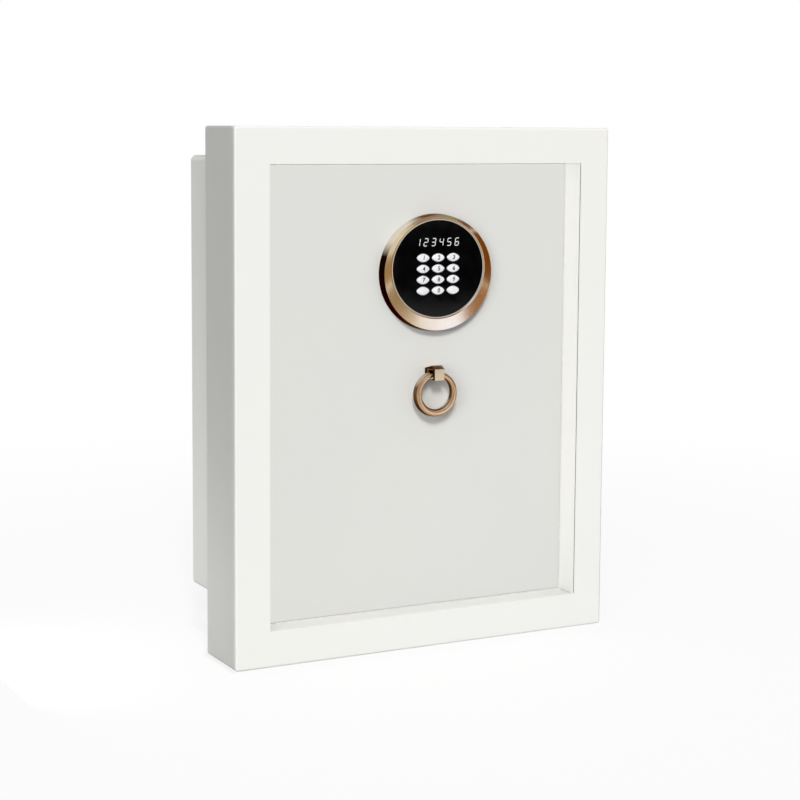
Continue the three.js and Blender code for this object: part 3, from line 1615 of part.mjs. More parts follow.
// Battery lid: flush in the cover, with its own knuckle and pin, and a grip at the top
function batteryLid() {
  const plate = block(
    lidLeft,
    lidRight,
    coverBack - LID_THICKNESS,
    coverBack,
    lidBottom,
    lidTop,
  );
  const own = [lidLeft + LID_KNUCKLE + SEAT, lidRight - LID_KNUCKLE - SEAT];
  const middle = (lidLeft + lidRight) / 2;
  return join(
    plate,
    knuckle(own[0], own[1], lidBottom, lidBottom + LID_BARREL_RADIUS),
    rod(LID_PIN_RADIUS, "x", [lidAxisY, lidBottom], lidLeft, lidRight),
    block(
      middle - LID_GRIP_WIDTH / 2,
      middle + LID_GRIP_WIDTH / 2,
      coverBack - 0.5,
      coverBack + LID_GRIP_HEIGHT,
      lidTop - 4,
      lidTop - 2.5,
    ),
  );
}
piece("battery_lid", batteryLid(), blackPlastic, lid);

// Reset button: its flange lies behind the cover and its stem over the switch
function resetButton() {
  const flangeBack = coverInside - SEAT;
  const stemEnd = controlBack + SWITCH_HEIGHT + SEAT + BUTTON_TRAVEL;
  const face = coverBack + BUTTON_PROUD;
  return turned(
    [
      [0, stemEnd],
      [BUTTON_STEM_RADIUS, stemEnd],
      [BUTTON_STEM_RADIUS, flangeBack - BUTTON_FLANGE_THICKNESS],
      [BUTTON_FLANGE_RADIUS, flangeBack - BUTTON_FLANGE_THICKNESS],
      [BUTTON_FLANGE_RADIUS, flangeBack],
      [BUTTON_RADIUS, flangeBack],
      [BUTTON_RADIUS, face - 0.5],
      [BUTTON_RADIUS - 0.6, face],
      [0, face],
    ],
    "y",
    [0, 0],
    COARSE,
  );
}
const button = pivoted(door, buttonX, coverBack, buttonZ);
piece("reset_button", resetButton(), redPlastic, button, [buttonX, 0, buttonZ]);

export default safe;
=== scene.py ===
"""The recessed hotel safe in its real finishes, lit and framed as in the photograph.

Lengths are in metres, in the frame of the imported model: +X to the right as one faces the safe,
+Y into the wall and +Z up. "Proud" counts from the door's face towards the viewer, along -Y.
"""

import json
import logging
import math
from collections.abc import Callable, Iterable, Sequence
from dataclasses import dataclass
from enum import Enum

import bmesh
import bpy
from mathutils import Matrix, Vector

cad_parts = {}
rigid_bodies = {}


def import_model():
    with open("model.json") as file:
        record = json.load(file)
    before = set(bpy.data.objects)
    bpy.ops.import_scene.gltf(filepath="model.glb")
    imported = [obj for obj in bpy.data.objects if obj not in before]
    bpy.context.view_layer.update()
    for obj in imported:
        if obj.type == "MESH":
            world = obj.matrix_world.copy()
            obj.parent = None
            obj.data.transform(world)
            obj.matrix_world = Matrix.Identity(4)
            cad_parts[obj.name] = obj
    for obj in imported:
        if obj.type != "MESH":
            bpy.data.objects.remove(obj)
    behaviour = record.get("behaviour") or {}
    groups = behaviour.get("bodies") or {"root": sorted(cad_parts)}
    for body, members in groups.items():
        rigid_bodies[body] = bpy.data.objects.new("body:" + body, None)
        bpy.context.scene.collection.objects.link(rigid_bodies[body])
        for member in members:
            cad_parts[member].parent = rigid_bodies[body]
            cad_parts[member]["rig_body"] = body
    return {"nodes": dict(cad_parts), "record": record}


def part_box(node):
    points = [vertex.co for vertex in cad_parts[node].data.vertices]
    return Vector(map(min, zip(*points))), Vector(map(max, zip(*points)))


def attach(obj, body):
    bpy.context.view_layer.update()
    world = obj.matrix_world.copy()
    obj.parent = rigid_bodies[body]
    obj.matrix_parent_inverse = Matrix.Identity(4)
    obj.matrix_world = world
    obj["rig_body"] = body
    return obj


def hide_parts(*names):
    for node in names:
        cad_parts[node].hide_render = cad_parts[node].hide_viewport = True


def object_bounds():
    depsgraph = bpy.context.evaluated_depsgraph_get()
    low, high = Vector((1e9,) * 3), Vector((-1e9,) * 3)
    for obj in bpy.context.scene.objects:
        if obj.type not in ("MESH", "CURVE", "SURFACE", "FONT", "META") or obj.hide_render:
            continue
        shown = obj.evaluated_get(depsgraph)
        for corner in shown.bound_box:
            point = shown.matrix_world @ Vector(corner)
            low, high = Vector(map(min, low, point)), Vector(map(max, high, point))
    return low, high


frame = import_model()
CAD_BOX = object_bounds()

log = logging.getLogger("safe")

MM = 0.001
SMOOTH_BELOW = math.radians(32)
WELD = 1e-6
Colour = tuple[float, float, float]
Point = tuple[float, float]
Point3 = tuple[float, float, float]


def linear(red: int, green: int, blue: int) -> Colour:
    """Turns an sRGB colour into the linear values that nodes take.

    Args:
        red: Red from 0 to 255.
        green: Green from 0 to 255.
        blue: Blue from 0 to 255.

    Returns:
        The three linear values from 0 to 1.
    """

    def channel(value: int) -> float:
        """Returns one channel's linear value."""
        share = value / 255
        return share / 12.92 if share <= 0.04045 else ((share + 0.055) / 1.055) ** 2.4

    return channel(red), channel(green), channel(blue)


class Slot(Enum):
    """The record's material slots."""

    WHITE_PAINT = "white_paint"
    DOOR_PAINT = "door_paint"
    BODY_PAINT = "body_paint"
    ROSE_GOLD = "rose_gold"
    PALE_GOLD = "pale_gold"
    BLACK_GLASS = "black_glass"
    KEY_WHITE = "key_white"
    RUBBER = "rubber"
    FELT = "felt"
    ZINC = "zinc"
    BRIGHT_STEEL = "bright_steel"
    BRASS = "brass"
    BOARD_GREEN = "board_green"
    BLACK_PLASTIC = "black_plastic"
    GREY_PLASTIC = "grey_plastic"
    CELL_WRAP = "cell_wrap"
    RED_PLASTIC = "red_plastic"


class Axis(Enum):
    """The axis that a turned piece is spun round."""

    X = (1.0, 0.0, 0.0)
    Y = (0.0, 1.0, 0.0)
    Z = (0.0, 0.0, 1.0)


# Finishes


def bare_material(name: str) -> tuple[bpy.types.Material, bpy.types.Node]:
    """Returns a new material and its output node, which is all that it holds."""
    material = bpy.data.materials.new(name)
    material.use_nodes = True
    material.node_tree.nodes.clear()
    return material, material.node_tree.nodes.new("ShaderNodeOutputMaterial")


def wire(
    tree: bpy.types.NodeTree, *pairs: tuple[bpy.types.NodeSocket, bpy.types.NodeSocket]
) -> None:
    """Links the first socket of each pair to the second."""
    for source, target in pairs:
        tree.links.new(source, target)


class Shader:
    """A material's node tree round one Principled surface."""

    def __init__(self, name: str) -> None:
        """Makes an empty material with a Principled surface."""
        self.material, output = bare_material(name)
        self.tree = self.material.node_tree
        self.surface = self.tree.nodes.new("ShaderNodeBsdfPrincipled")
        wire(self.tree, (self.surface.outputs[0], output.inputs["Surface"]))
        self.places = self.tree.nodes.new("ShaderNodeTexCoord")

    def join(self, value: object, socket: bpy.types.NodeSocket) -> None:
        """Feeds a socket from another socket, or sets it to a plain value."""
        if isinstance(value, bpy.types.NodeSocket):
            self.tree.links.new(value, socket)
        elif isinstance(value, tuple) and len(value) == 3 and socket.type == "RGBA":
            socket.default_value = (*value, 1.0)
        else:
            socket.default_value = value

    def feed(self, name: str, value: object) -> None:
        """Feeds or sets one of the surface's own sockets."""
        self.join(value, self.surface.inputs[name])

    def coordinates(self, stretch: Sequence[float]) -> bpy.types.NodeSocket:
        """Returns Object coordinates, scaled by the three factors."""
        mapping = self.tree.nodes.new("ShaderNodeMapping")
        mapping.inputs["Scale"].default_value = tuple(stretch)
        self.tree.links.new(self.places.outputs["Object"], mapping.inputs["Vector"])
        return mapping.outputs["Vector"]

    def noise(
        self,
        size: float,
        detail: float = 2.0,
        stretch: Sequence[float] = (1.0, 1.0, 1.0),
        roughness: float = 0.5,
    ) -> bpy.types.NodeSocket:
        """Returns a noise value on Object coordinates.

        Args:
            size: Size of one patch, in metres.
            detail: Octaves of the noise.
            stretch: Factors along X, Y and Z; a small one draws the patches out that way.
            roughness: How strong the finer octaves are.

        Returns:
            The socket with a value round 0.5.
        """
        node = self.tree.nodes.new("ShaderNodeTexNoise")
        node.inputs["Scale"].default_value = 1 / size
        node.inputs["Detail"].default_value = detail
        node.inputs["Roughness"].default_value = roughness
        self.tree.links.new(self.coordinates(stretch), node.inputs["Vector"])
        return node.outputs["Fac"]

    def spread(
        self,
        value: bpy.types.NodeSocket,
        low: float,
        high: float,
        start: float = 0.3,
        end: float = 0.7,
    ) -> bpy.types.NodeSocket:
        """Returns value spread from start..end over low..high, and held at both ends."""
        node = self.tree.nodes.new("ShaderNodeMapRange")
        for name, number in zip(
            ("From Min", "From Max", "To Min", "To Max"), (start, end, low, high)
        ):
            node.inputs[name].default_value = number
        self.tree.links.new(value, node.inputs["Value"])
        return node.outputs["Result"]

    def math(
        self, operation: str, first: object, second: object = 0.0
    ) -> bpy.types.NodeSocket:
        """Returns the result of a Math node on two sockets or numbers."""
        node = self.tree.nodes.new("ShaderNodeMath")
        node.operation = operation
        self.join(first, node.inputs[0])
        self.join(second, node.inputs[1])
        return node.outputs[0]

    def blend(self, share: object, first: object, second: object) -> bpy.types.NodeSocket:
        """Returns the mix of two colours by a share from 0 to 1."""
        node = self.tree.nodes.new("ShaderNodeMix")
        node.data_type = "RGBA"
        self.join(share, node.inputs["Factor"])
        self.join(first, node.inputs[6])
        self.join(second, node.inputs[7])
        return node.outputs[2]

    def axis(self, name: str, source: str = "Object") -> bpy.types.NodeSocket:
        """Returns one component, X, Y or Z, of a Texture Coordinate output."""
        node = self.tree.nodes.new("ShaderNodeSeparateXYZ")
        self.tree.links.new(self.places.outputs[source], node.inputs[0])
        return node.outputs[name]

    def bump(
        self,
        height: bpy.types.NodeSocket,
        depth: float,
        strength: float = 1.0,
        under: bpy.types.NodeSocket | None = None,
    ) -> bpy.types.NodeSocket:
        """Returns a bumped normal for a height of 0 to 1 times depth, in metres."""
        node = self.tree.nodes.new("ShaderNodeBump")
        node.inputs["Distance"].default_value = depth
        node.inputs["Strength"].default_value = strength
        self.tree.links.new(height, node.inputs["Height"])
        if under is not None:
            self.tree.links.new(under, node.inputs["Normal"])
        return node.outputs["Normal"]


@dataclass(frozen=True)
class Finish:
    """One real finish: a base colour and how it shines."""

    name: str
    colour: Colour
    roughness: float = 0.5
    metallic: float = 0.0
    sheen: float = 0.0

    def material(self) -> bpy.types.Material:
        """Returns the finish's material, which is built once."""
        made = bpy.data.materials.get(self.name)
        if made is not None:
            return made
        shader = Shader(self.name)
        shader.feed("Base Color", self.colour)
        shader.feed("Roughness", self.roughness)
        shader.feed("Metallic", self.metallic)
        self.dress(shader)
        return shader.material

    def dress(self, shader: Shader) -> None:
        """Adds what makes the finish more than one flat colour."""
        raise NotImplementedError

    def toned(self, *shares: float) -> Colour:
        """Returns the base colour scaled by one share, or by one for each channel."""
        shares *= 3 // len(shares)
        return tuple(part * share for part, share in zip(self.colour, shares))

    def uneven(
        self, shader: Shader, value: bpy.types.NodeSocket, low: float, high: float
    ) -> None:
        """Makes the gloss uneven.

        Args:
            shader: The finish's shader.
            value: What the roughness follows.
            low: The least roughness, as a share of the finish's own.
            high: The greatest.
        """
        least, most = self.roughness * low, min(1.0, self.roughness * high)
        shader.feed("Roughness", shader.spread(value, least, most))


@dataclass(frozen=True)
class PowderCoat(Finish):
    """Baked powder paint: a faint orange peel and cloudiness over sheet steel."""

    peel: float = 1.1 * MM
    peel_depth: float = 0.012 * MM
    cloud: float = 0.02

    def dress(self, shader: Shader) -> None:
        """Adds clouds of tone, uneven gloss and the orange peel."""
        clouds = shader.noise(0.11, 3.0)
        shade, warm = self.toned(1 - self.cloud), self.toned(1.0, 0.997, 0.985)
        shader.feed("Base Color", shader.blend(shader.spread(clouds, 0, 1), warm, shade))
        self.uneven(shader, shader.noise(9 * MM, 3.0), 0.9, 1.12)
        peel = shader.noise(self.peel, 1.5)
        grit = shader.noise(0.35 * MM, 1.0)
        normal = shader.bump(peel, self.peel_depth)
        shader.feed("Normal", shader.bump(grit, self.peel_depth * 0.25, under=normal))


@dataclass(frozen=True)
class Plating(Finish):
    """Polished plating over a casting, with painted shade and light on its side walls."""

    # The wall tones are painted shade on the side walls: lighter where a wall faces up, darker
    # where it faces down, and a painted highlight where it faces up and left.
    wall: Colour = (0.008, 0.004, 0.003)
    lit_upper_wall: Colour = (0.22, 0.11, 0.07)
    wall_shade_share: float = 1.0
    lit_corner_share: float = 1.0
    painted_highlight_tone: Colour | None = None
    shaded_lower_wall: Colour | None = None
    face_from: float = 0.75
    wall_tint: Colour = (0.6, 0.41, 0.29)
    lit_corner_up: float = 0.73
    lit_corner_left: float = 0.68

    def dress(self, shader: Shader) -> None:
        """Adds painted shade and light on side walls, drifts of hue and fine polishing marks."""
        # Painted shade: walls that face aside take the dark wall tone and tinted reflections; the
        # corner that faces up and left keeps the face colour as a painted highlight.
        facing = shader.math("ABSOLUTE", shader.axis("Y", "Normal"))
        side = shader.spread(facing, self.wall_shade_share, 0, 0.25, self.face_from)
        up, across = (shader.axis(name, "Normal") for name in "ZX")
        upwards = shader.math("MULTIPLY", up, self.lit_corner_up)
        sideways = shader.math("MULTIPLY", across, self.lit_corner_left)
        corner = shader.math("SUBTRACT", upwards, sideways)
        kept = shader.spread(corner, 1, 1 - self.lit_corner_share, 0.87, 0.97)
        side = shader.math("MULTIPLY", side, kept)
        # Painted light and shade: upper walls lighter, lower walls darker.
        tone = shader.blend(shader.spread(up, 0, 1, 0.35, 0.9), self.wall, self.lit_upper_wall)
        if self.shaded_lower_wall is not None:
            tone = shader.blend(shader.spread(up, 0, 1, -0.85, 0.1), self.shaded_lower_wall, tone)
        drift = shader.spread(shader.noise(24 * MM, 2.0), 0, 1)
        bright = shader.blend(drift, self.colour, self.toned(0.97, 0.91, 0.84))
        # Painted highlight on the corner that faces up and left.
        if self.painted_highlight_tone is not None:
            bright = shader.blend(shader.spread(corner, 0, 1, 0.8, 0.97), bright, self.painted_highlight_tone)
        shader.feed("Base Color", shader.blend(side, bright, tone))
        shader.feed("Specular Tint", shader.blend(side, (1.0, 1.0, 1.0), self.wall_tint))
        marks = shader.noise(0.5 * MM, 2.0, (1.0, 1.0, 0.12))
        self.uneven(shader, marks, 0.8, 1.25)
        shader.feed("Normal", shader.bump(marks, 0.0015 * MM, 0.6))


@dataclass(frozen=True)
class GroundMetal(Finish):
    """Bare or zinc-plated metal with the lines that drawing or grinding leaves along it."""

    along: Axis = Axis.Z
    line: float = 0.25 * MM
    bloom: Colour | None = None

    def dress(self, shader: Shader) -> None:
        """Adds grinding lines, patches of gloss and the bloom of the plating."""
        stretch = tuple(0.03 if part else 1.0 for part in self.along.value)
        lines = shader.noise(self.line, 3.0, stretch)
        patches = shader.spread(shader.noise(7 * MM, 4.0), 0, 1)
        other = self.bloom or self.toned(0.86)
        shader.feed("Base Color", shader.blend(patches, self.colour, other))
        self.uneven(shader, lines, 0.75, 1.35)
        shader.feed("Normal", shader.bump(lines, 0.004 * MM))


@dataclass(frozen=True)
class TurnedMetal(Finish):
    """Metal off a lathe, with the tool's rings."""

    def dress(self, shader: Shader) -> None:
        """Adds fine rings and a slight tarnish."""
        rings = shader.noise(0.3 * MM, 2.0, (0.2, 1.0, 1.0))
        tarnish = shader.spread(shader.noise(3 * MM, 3.0), 0, 1)
        dull = self.toned(0.8, 0.74, 0.66)
        shader.feed("Base Color", shader.blend(tarnish, self.colour, dull))
        self.uneven(shader, rings, 0.8, 1.3)
        shader.feed("Normal", shader.bump(rings, 0.003 * MM))


@dataclass(frozen=True)
class Moulded(Finish):
    """Moulded plastic or rubber with the mould's fine grain."""

    grain: float = 0.3 * MM
    grain_depth: float = 0.01 * MM
    coat: float = 0.0

    def dress(self, shader: Shader) -> None:
        """Adds grain, uneven gloss and a trace of flow in the colour."""
        grain = shader.noise(self.grain, 2.0)
        flow = shader.spread(shader.noise(6 * MM, 3.0), 0, 1)
        lighter = tuple(min(1.0, part * 1.12 + 0.001) for part in self.colour)
        shader.feed("Base Color", shader.blend(flow, self.colour, lighter))
        self.uneven(shader, grain, 0.88, 1.12)
        shader.feed("Coat Weight", self.coat)
        shader.feed("Coat Roughness", 0.08)
        shader.feed("Normal", shader.bump(grain, self.grain_depth))


@dataclass(frozen=True)
class PolishedBlack(Finish):
    """Back-printed black acrylic under a hard gloss, with the haze that fingers leave."""

    def dress(self, shader: Shader) -> None:
        """Adds the haze in the gloss and the long waves of cast sheet."""
        haze = shader.noise(11 * MM, 4.0, roughness=0.6)
        dust = shader.noise(0.4 * MM, 1.0)
        self.uneven(shader, haze, 1.0, 2.2)
        tone = shader.spread(dust, 0.0, 1.0, 0.62, 0.8)
        shader.feed("Base Color", shader.blend(tone, self.colour, self.toned(1.9)))
        shader.feed("Normal", shader.bump(shader.noise(20 * MM, 1.0), 0.006 * MM, 0.5))


@dataclass(frozen=True)
class NeedleFelt(Finish):
    """Dark felt: matted fibres of a few greys."""

    def dress(self, shader: Shader) -> None:
        """Adds the mottled fibres, their height and a soft sheen."""
        fibres = shader.noise(0.9 * MM, 6.0, (1.0, 1.6, 1.0), 0.75)
        clumps = shader.noise(6 * MM, 3.0)
        tone = shader.math("MULTIPLY", shader.spread(fibres, 0, 1), shader.spread(clumps, 0.5, 1))
        shader.feed("Base Color", shader.blend(tone, self.colour, self.toned(2.4)))
        shader.feed("Sheen Weight", self.sheen)
        shader.feed("Sheen Roughness", 0.6)
        normal = shader.bump(clumps, 0.25 * MM)
        shader.feed("Normal", shader.bump(fibres, 0.2 * MM, under=normal))


@dataclass(frozen=True)
class SolderMask(Finish):
    """Circuit board: copper runs that show as a lighter green under the mask."""

    copper: Colour = (0.03, 0.16, 0.06)
    run: float = 1.6 * MM

    def dress(self, shader: Shader) -> None:
        """Adds the runs, in squares of two directions, and their slight height."""
        node = shader.tree.nodes.new("ShaderNodeTexBrick")
        node.inputs["Scale"].default_value = 1.0
        node.inputs["Brick Width"].default_value = self.run * 9
        node.inputs["Row Height"].default_value = self.run
        node.inputs["Mortar Size"].default_value = self.run * 0.28
        node.inputs["Mortar Smooth"].default_value = 0.1
        mapping = shader.tree.nodes.new("ShaderNodeMapping")
        mapping.inputs["Rotation"].default_value = (math.pi / 2, 0, 0)
        wire(
            shader.tree,
            (shader.places.outputs["Object"], mapping.inputs["Vector"]),
            (mapping.outputs["Vector"], node.inputs["Vector"]),
        )
        runs = node.outputs["Fac"]
        shader.feed("Base Color", shader.blend(runs, self.colour, self.copper))
        shader.feed("Roughness", shader.spread(runs, self.roughness, self.roughness * 1.3, 0, 1))
        shader.feed("Normal", shader.bump(runs, 0.03 * MM, 0.7))


@dataclass(frozen=True)
class ShrinkWrap(Finish):
    """A plain cell's wrap: dark for most of its length, with a copper-coloured end."""

    band: Colour = (0.42, 0.2, 0.09)
    middle: float = 0.0
    band_from: float = 9 * MM
    way: float = 1.0

    def dress(self, shader: Shader) -> None:
        """Adds the band, the wrap's seams and its soft gloss."""
        along = shader.math("SUBTRACT", shader.axis("X"), self.middle)
        along = shader.math("MULTIPLY", along, self.way)
        banded = shader.math("GREATER_THAN", along, self.band_from)
        shader.feed("Base Color", shader.blend(banded, self.colour, self.band))
        wrinkle = shader.noise(1.5 * MM, 2.0, (1.0, 0.3, 0.3))
        self.uneven(shader, wrinkle, 0.8, 1.3)
        shader.feed("Normal", shader.bump(wrinkle, 0.02 * MM))


@dataclass(frozen=True)
class LitSegments(Finish):
    """The display's lit segments: a white that glows evenly."""

    glow: float = 0.8

    def dress(self, shader: Shader) -> None:
        """Adds the glow with the fine dots of its diffuser."""
        dots = shader.noise(0.25 * MM, 0.0)
        shader.feed("Emission Color", self.colour)
        shader.feed("Emission Strength", shader.spread(dots, self.glow * 0.92, self.glow))


BRIGHT_LINES = GroundMetal("Bright steel", linear(208, 210, 212), 0.34, 1.0, along=Axis.X)
FINISHES: dict[Slot, Finish] = {
    Slot.WHITE_PAINT: PowderCoat("White powder coat", linear(246, 246, 242), 0.48),
    Slot.DOOR_PAINT: PowderCoat("Pale grey powder coat", linear(228, 228, 224), 0.5),
    Slot.BODY_PAINT: PowderCoat(
        "Light grey body coat", linear(236, 236, 233), 0.55, peel=1.6 * MM
    ),
    # Rose gold with painted shade on its side walls and a pale painted highlight on its upper
    # left.
    Slot.ROSE_GOLD: Plating(
        "Rose gold plate", (0.68, 0.545, 0.36), 0.17, 1.0, painted_highlight_tone=(0.86, 0.78, 0.66)
    ),
    # The trim ring's walls take a tenth of the painted wall shade.
    Slot.PALE_GOLD: Plating("Pale gold plate", (0.86, 0.79, 0.7), 0.36, 1.0, wall_shade_share=0.1),
    Slot.BLACK_GLASS: PolishedBlack("Black acrylic", (0.0013, 0.0013, 0.0014), 0.07),
    Slot.KEY_WHITE: Moulded("Key white", linear(236, 235, 238), 0.4, coat=0.1),
    Slot.RUBBER: Moulded("Black rubber", (0.012, 0.012, 0.012), 0.78, grain_depth=0.03 * MM),
    Slot.FELT: NeedleFelt("Grey needle felt", linear(52, 54, 58), 0.95, sheen=0.35),
    Slot.ZINC: GroundMetal(
        "Zinc plate", (0.55, 0.57, 0.6), 0.36, 1.0, along=Axis.Z, bloom=(0.6, 0.57, 0.5)
    ),
    Slot.BRIGHT_STEEL: BRIGHT_LINES,
    Slot.BRASS: TurnedMetal("Turned brass", (0.55, 0.36, 0.13), 0.3, 1.0),
    Slot.BOARD_GREEN: SolderMask("Solder mask", (0.012, 0.09, 0.035), 0.35),
    Slot.BLACK_PLASTIC: Moulded("Black moulding", (0.014, 0.014, 0.016), 0.5),
    Slot.GREY_PLASTIC: Moulded("Ribbon grey", linear(150, 153, 156), 0.5),
    Slot.CELL_WRAP: ShrinkWrap("Cell wrap", (0.02, 0.022, 0.026), 0.3, middle=-81.75 * MM),
    Slot.RED_PLASTIC: Moulded("Red moulding", linear(178, 34, 28), 0.4, coat=0.2),
}
# The hook's side walls are painted shade, and its upper walls are painted light.
HOOK_GOLD = Plating(
    "Rose gold hook",
    (0.68, 0.55, 0.37),
    0.2,
    1.0,
    wall=(0.045, 0.02, 0.011),
    lit_upper_wall=(0.8, 0.5, 0.28),
    lit_corner_share=0.0,
)
# The ring's darker walls and near-black lower walls are painted shade, and its pale upper-left
# corner is a painted highlight.
RING_GOLD = Plating(
    "Handled rose gold",
    (0.56, 0.385, 0.225),
    0.2,
    1.0,
    wall=(0.17, 0.09, 0.045),
    lit_upper_wall=(0.34, 0.2, 0.11),
    lit_corner_share=0.6,
    painted_highlight_tone=(0.84, 0.74, 0.6),
    shaded_lower_wall=(0.012, 0.006, 0.004),
    face_from=0.93,
)
TURNED_CELL_WRAP = ShrinkWrap(
    "Cell wrap, other way", (0.02, 0.022, 0.026), 0.3, middle=-81.75 * MM, way=-1.0
)
PRINTED_BLACK = Moulded("Key print", (0.01, 0.01, 0.011), 0.6)
WHITE_SEAL = Moulded("White seal", linear(232, 232, 227), 0.5)
LIT_WHITE = LitSegments("Lit segments", (0.6, 0.61, 0.63), 0.5, glow=0.42)


# Making pieces


def as_object(mesh: bmesh.types.BMesh, name: str) -> bpy.types.Object:
    """Turns a bmesh, which it frees, into an object at the origin."""
    data = bpy.data.meshes.new(name)
    mesh.to_mesh(data)
    mesh.free()
    made = bpy.data.objects.new(name, data)
    bpy.context.scene.collection.objects.link(made)
    return made


def finished(
    mesh: bmesh.types.BMesh,
    name: str,
    body: str,
    slot: Slot,
    replaces: Sequence[str] = (),
    finish: Finish | None = None,
) -> bpy.types.Object:
    """Turns a bmesh into a piece that rides on a body.

    Args:
        mesh: The finished form, in place. It is freed.
        name: The piece's name.
        body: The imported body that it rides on.
        slot: The record's slot for its finish.
        replaces: The CAD nodes that it stands for.
        finish: A finish other than the slot's own.

    Returns:
        The piece's object, at the origin.
    """
    for face in mesh.faces:
        face.smooth = True
    for edge in mesh.edges:
        edge.smooth = edge.is_manifold and edge.calc_face_angle(0.0) < SMOOTH_BELOW
    piece = as_object(mesh, name)
    piece.data.materials.append((finish or FINISHES[slot]).material())
    piece.modifiers.new("flat_faces", "WEIGHTED_NORMAL").keep_sharp = True
    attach(piece, body)
    if replaces:
        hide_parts(*replaces)
    log.info("%s: %d faces on %s", name, len(piece.data.polygons), body)
    return piece


def grown(
    mesh: bmesh.types.BMesh, faces: Sequence[bmesh.types.BMFace]
) -> list[bmesh.types.BMVert]:
    """Extrudes faces and keeps them as the other side.

    Args:
        mesh: The bmesh that holds them.
        faces: The faces.

    Returns:
        The fresh corners, which haven't moved yet.
    """
    made = bmesh.ops.extrude_face_region(mesh, geom=faces, use_keep_orig=True)
    return [item for item in made["geom"] if isinstance(item, bmesh.types.BMVert)]


def eased(
    mesh: bmesh.types.BMesh,
    edges: Sequence[bmesh.types.BMEdge],
    width: float,
    segments: int,
    clamped: bool = False,
) -> None:
    """Rounds some edges.

    Args:
        mesh: The bmesh that holds them.
        edges: The edges.
        width: Width of the bevel.
        segments: Steps of the bevel.
        clamped: Whether the bevel stops where it meets another.
    """
    bmesh.ops.bevel(
        mesh,
        geom=edges,
        offset=width,
        segments=segments,
        profile=0.5,
        affect="EDGES",
        material=-1,
        clamp_overlap=clamped,
    )


def closed_up(mesh: bmesh.types.BMesh) -> bmesh.types.BMesh:
    """Joins doubled corners and turns all faces outwards.

    Args:
        mesh: A bmesh whose shells are closed, but for doubled corners.

    Returns:
        The same bmesh.
    """
    bmesh.ops.remove_doubles(mesh, verts=mesh.verts, dist=WELD)
    bmesh.ops.recalc_face_normals(mesh, faces=mesh.faces)
    return mesh


def hoop(
    mesh: bmesh.types.BMesh,
    centre: Vector,
    half_x: float,
    half_z: float,
    steps: int,
    point: float = 1.0,
) -> list[bmesh.types.BMVert]:
    """Adds an open oval that faces along Y.

    Args:
        mesh: The bmesh to add to.
        centre: The oval's middle.
        half_x: Half its width.
        half_z: Half its height.
        steps: How many edges it has.
        point: 1 draws an ellipse, and more draws pointed ends.

    Returns:
        The oval's corners in order.
    """
    verts = bmesh.ops.create_circle(mesh, segments=steps, radius=1.0)["verts"]
    for vert in verts:
        across, up = (math.copysign(abs(part) ** point, part) for part in vert.co[:2])
        vert.co = centre + Vector((half_x * across, 0, half_z * up))
    return verts


def edges_of(hoops: Iterable[Sequence[bmesh.types.BMVert]]) -> list[bmesh.types.BMEdge]:
    """Returns the edges along some hoops."""
    found = []
    for verts in hoops:
        for i, vert in enumerate(verts):
            found.append(next(e for e in vert.link_edges if e.other_vert(vert) == verts[i - 1]))
    return found


def walled(mesh: bmesh.types.BMesh, hoops: Sequence[Sequence[bmesh.types.BMVert]]) -> None:
    """Makes the faces between hoops that have the same number of corners."""
    for first, second in zip(hoops, hoops[1:]):
        for i in range(len(first)):
            mesh.faces.new((first[i - 1], first[i], second[i], second[i - 1]))


def bridged(
    mesh: bmesh.types.BMesh, hoops: Sequence[Sequence[bmesh.types.BMVert]], ring: bool
) -> None:
    """Joins hoops one after another with faces.

    Args:
        mesh: The bmesh that holds them.
        hoops: Hoops with the same number of corners.
        ring: Whether the last is joined to the first, and if not, both ends are capped.
    """
    if ring:
        walled(mesh, [*hoops, hoops[0]])
    else:
        mesh.faces.new(hoops[0])
        mesh.faces.new(hoops[-1])
        walled(mesh, hoops)


def turned(
    profile: Sequence[Point], axis: Axis, centre: Vector, steps: int = 64
) -> bmesh.types.BMesh:
    """Spins a profile into a closed solid.

    Args:
        profile: Corners as (radius, place along the axis); on a piece without a bore the first
            and the last lie on the axis.
        axis: The axis to spin round.
        centre: A point on the axis, from which places along it count.
        steps: Steps of the full turn.

    Returns:
        The solid.
    """
    mesh = bmesh.new()
    along = Vector(axis.value)
    across = Vector((0.0, 0.0, 1.0)) if axis is not Axis.Z else Vector((1.0, 0.0, 0.0))
    corners = [mesh.verts.new(centre + across * r + along * a) for r, a in profile]
    chain = list(zip(corners, corners[1:]))
    if profile[0][0] > 0 and profile[-1][0] > 0:
        chain.append((corners[-1], corners[0]))
    edges = [mesh.edges.new(pair) for pair in chain]
    bmesh.ops.spin(
        mesh,
        geom=corners + edges,
        cent=centre,
        axis=along,
        angle=2 * math.pi,
        steps=steps,
        use_merge=True,
    )
    return closed_up(mesh)


def rounded(
    corners: Sequence[tuple[float, float, float]], steps: int = 4
) -> list[Point]:
    """Rounds the corners of an outline.

    Args:
        corners: Corners as (first, second, radius of the corner).
        steps: Steps of each rounded corner.

    Returns:
        The outline's points, with each rounded corner drawn as an arc.
    """
    outline: list[Point] = []
    count = len(corners)
    for i, (x, y, radius) in enumerate(corners):
        here = Vector((x, y))
        if radius <= 0:
            outline.append((x, y))
            continue
        before = (Vector(corners[i - 1][:2]) - here).normalized()
        after = (Vector(corners[(i + 1) % count][:2]) - here).normalized()
        half = before.angle(after) / 2
        reach = radius / math.tan(half)
        middle = here + (before + after).normalized() * (radius / math.sin(half))
        start = here + before * reach - middle
        turn = start.angle_signed(here + after * reach - middle)
        for step in range(steps + 1):
            spoke = start.copy()
            spoke.rotate(Matrix.Rotation(-turn * step / steps, 2))
            outline.append(tuple(middle + spoke))
    return outline


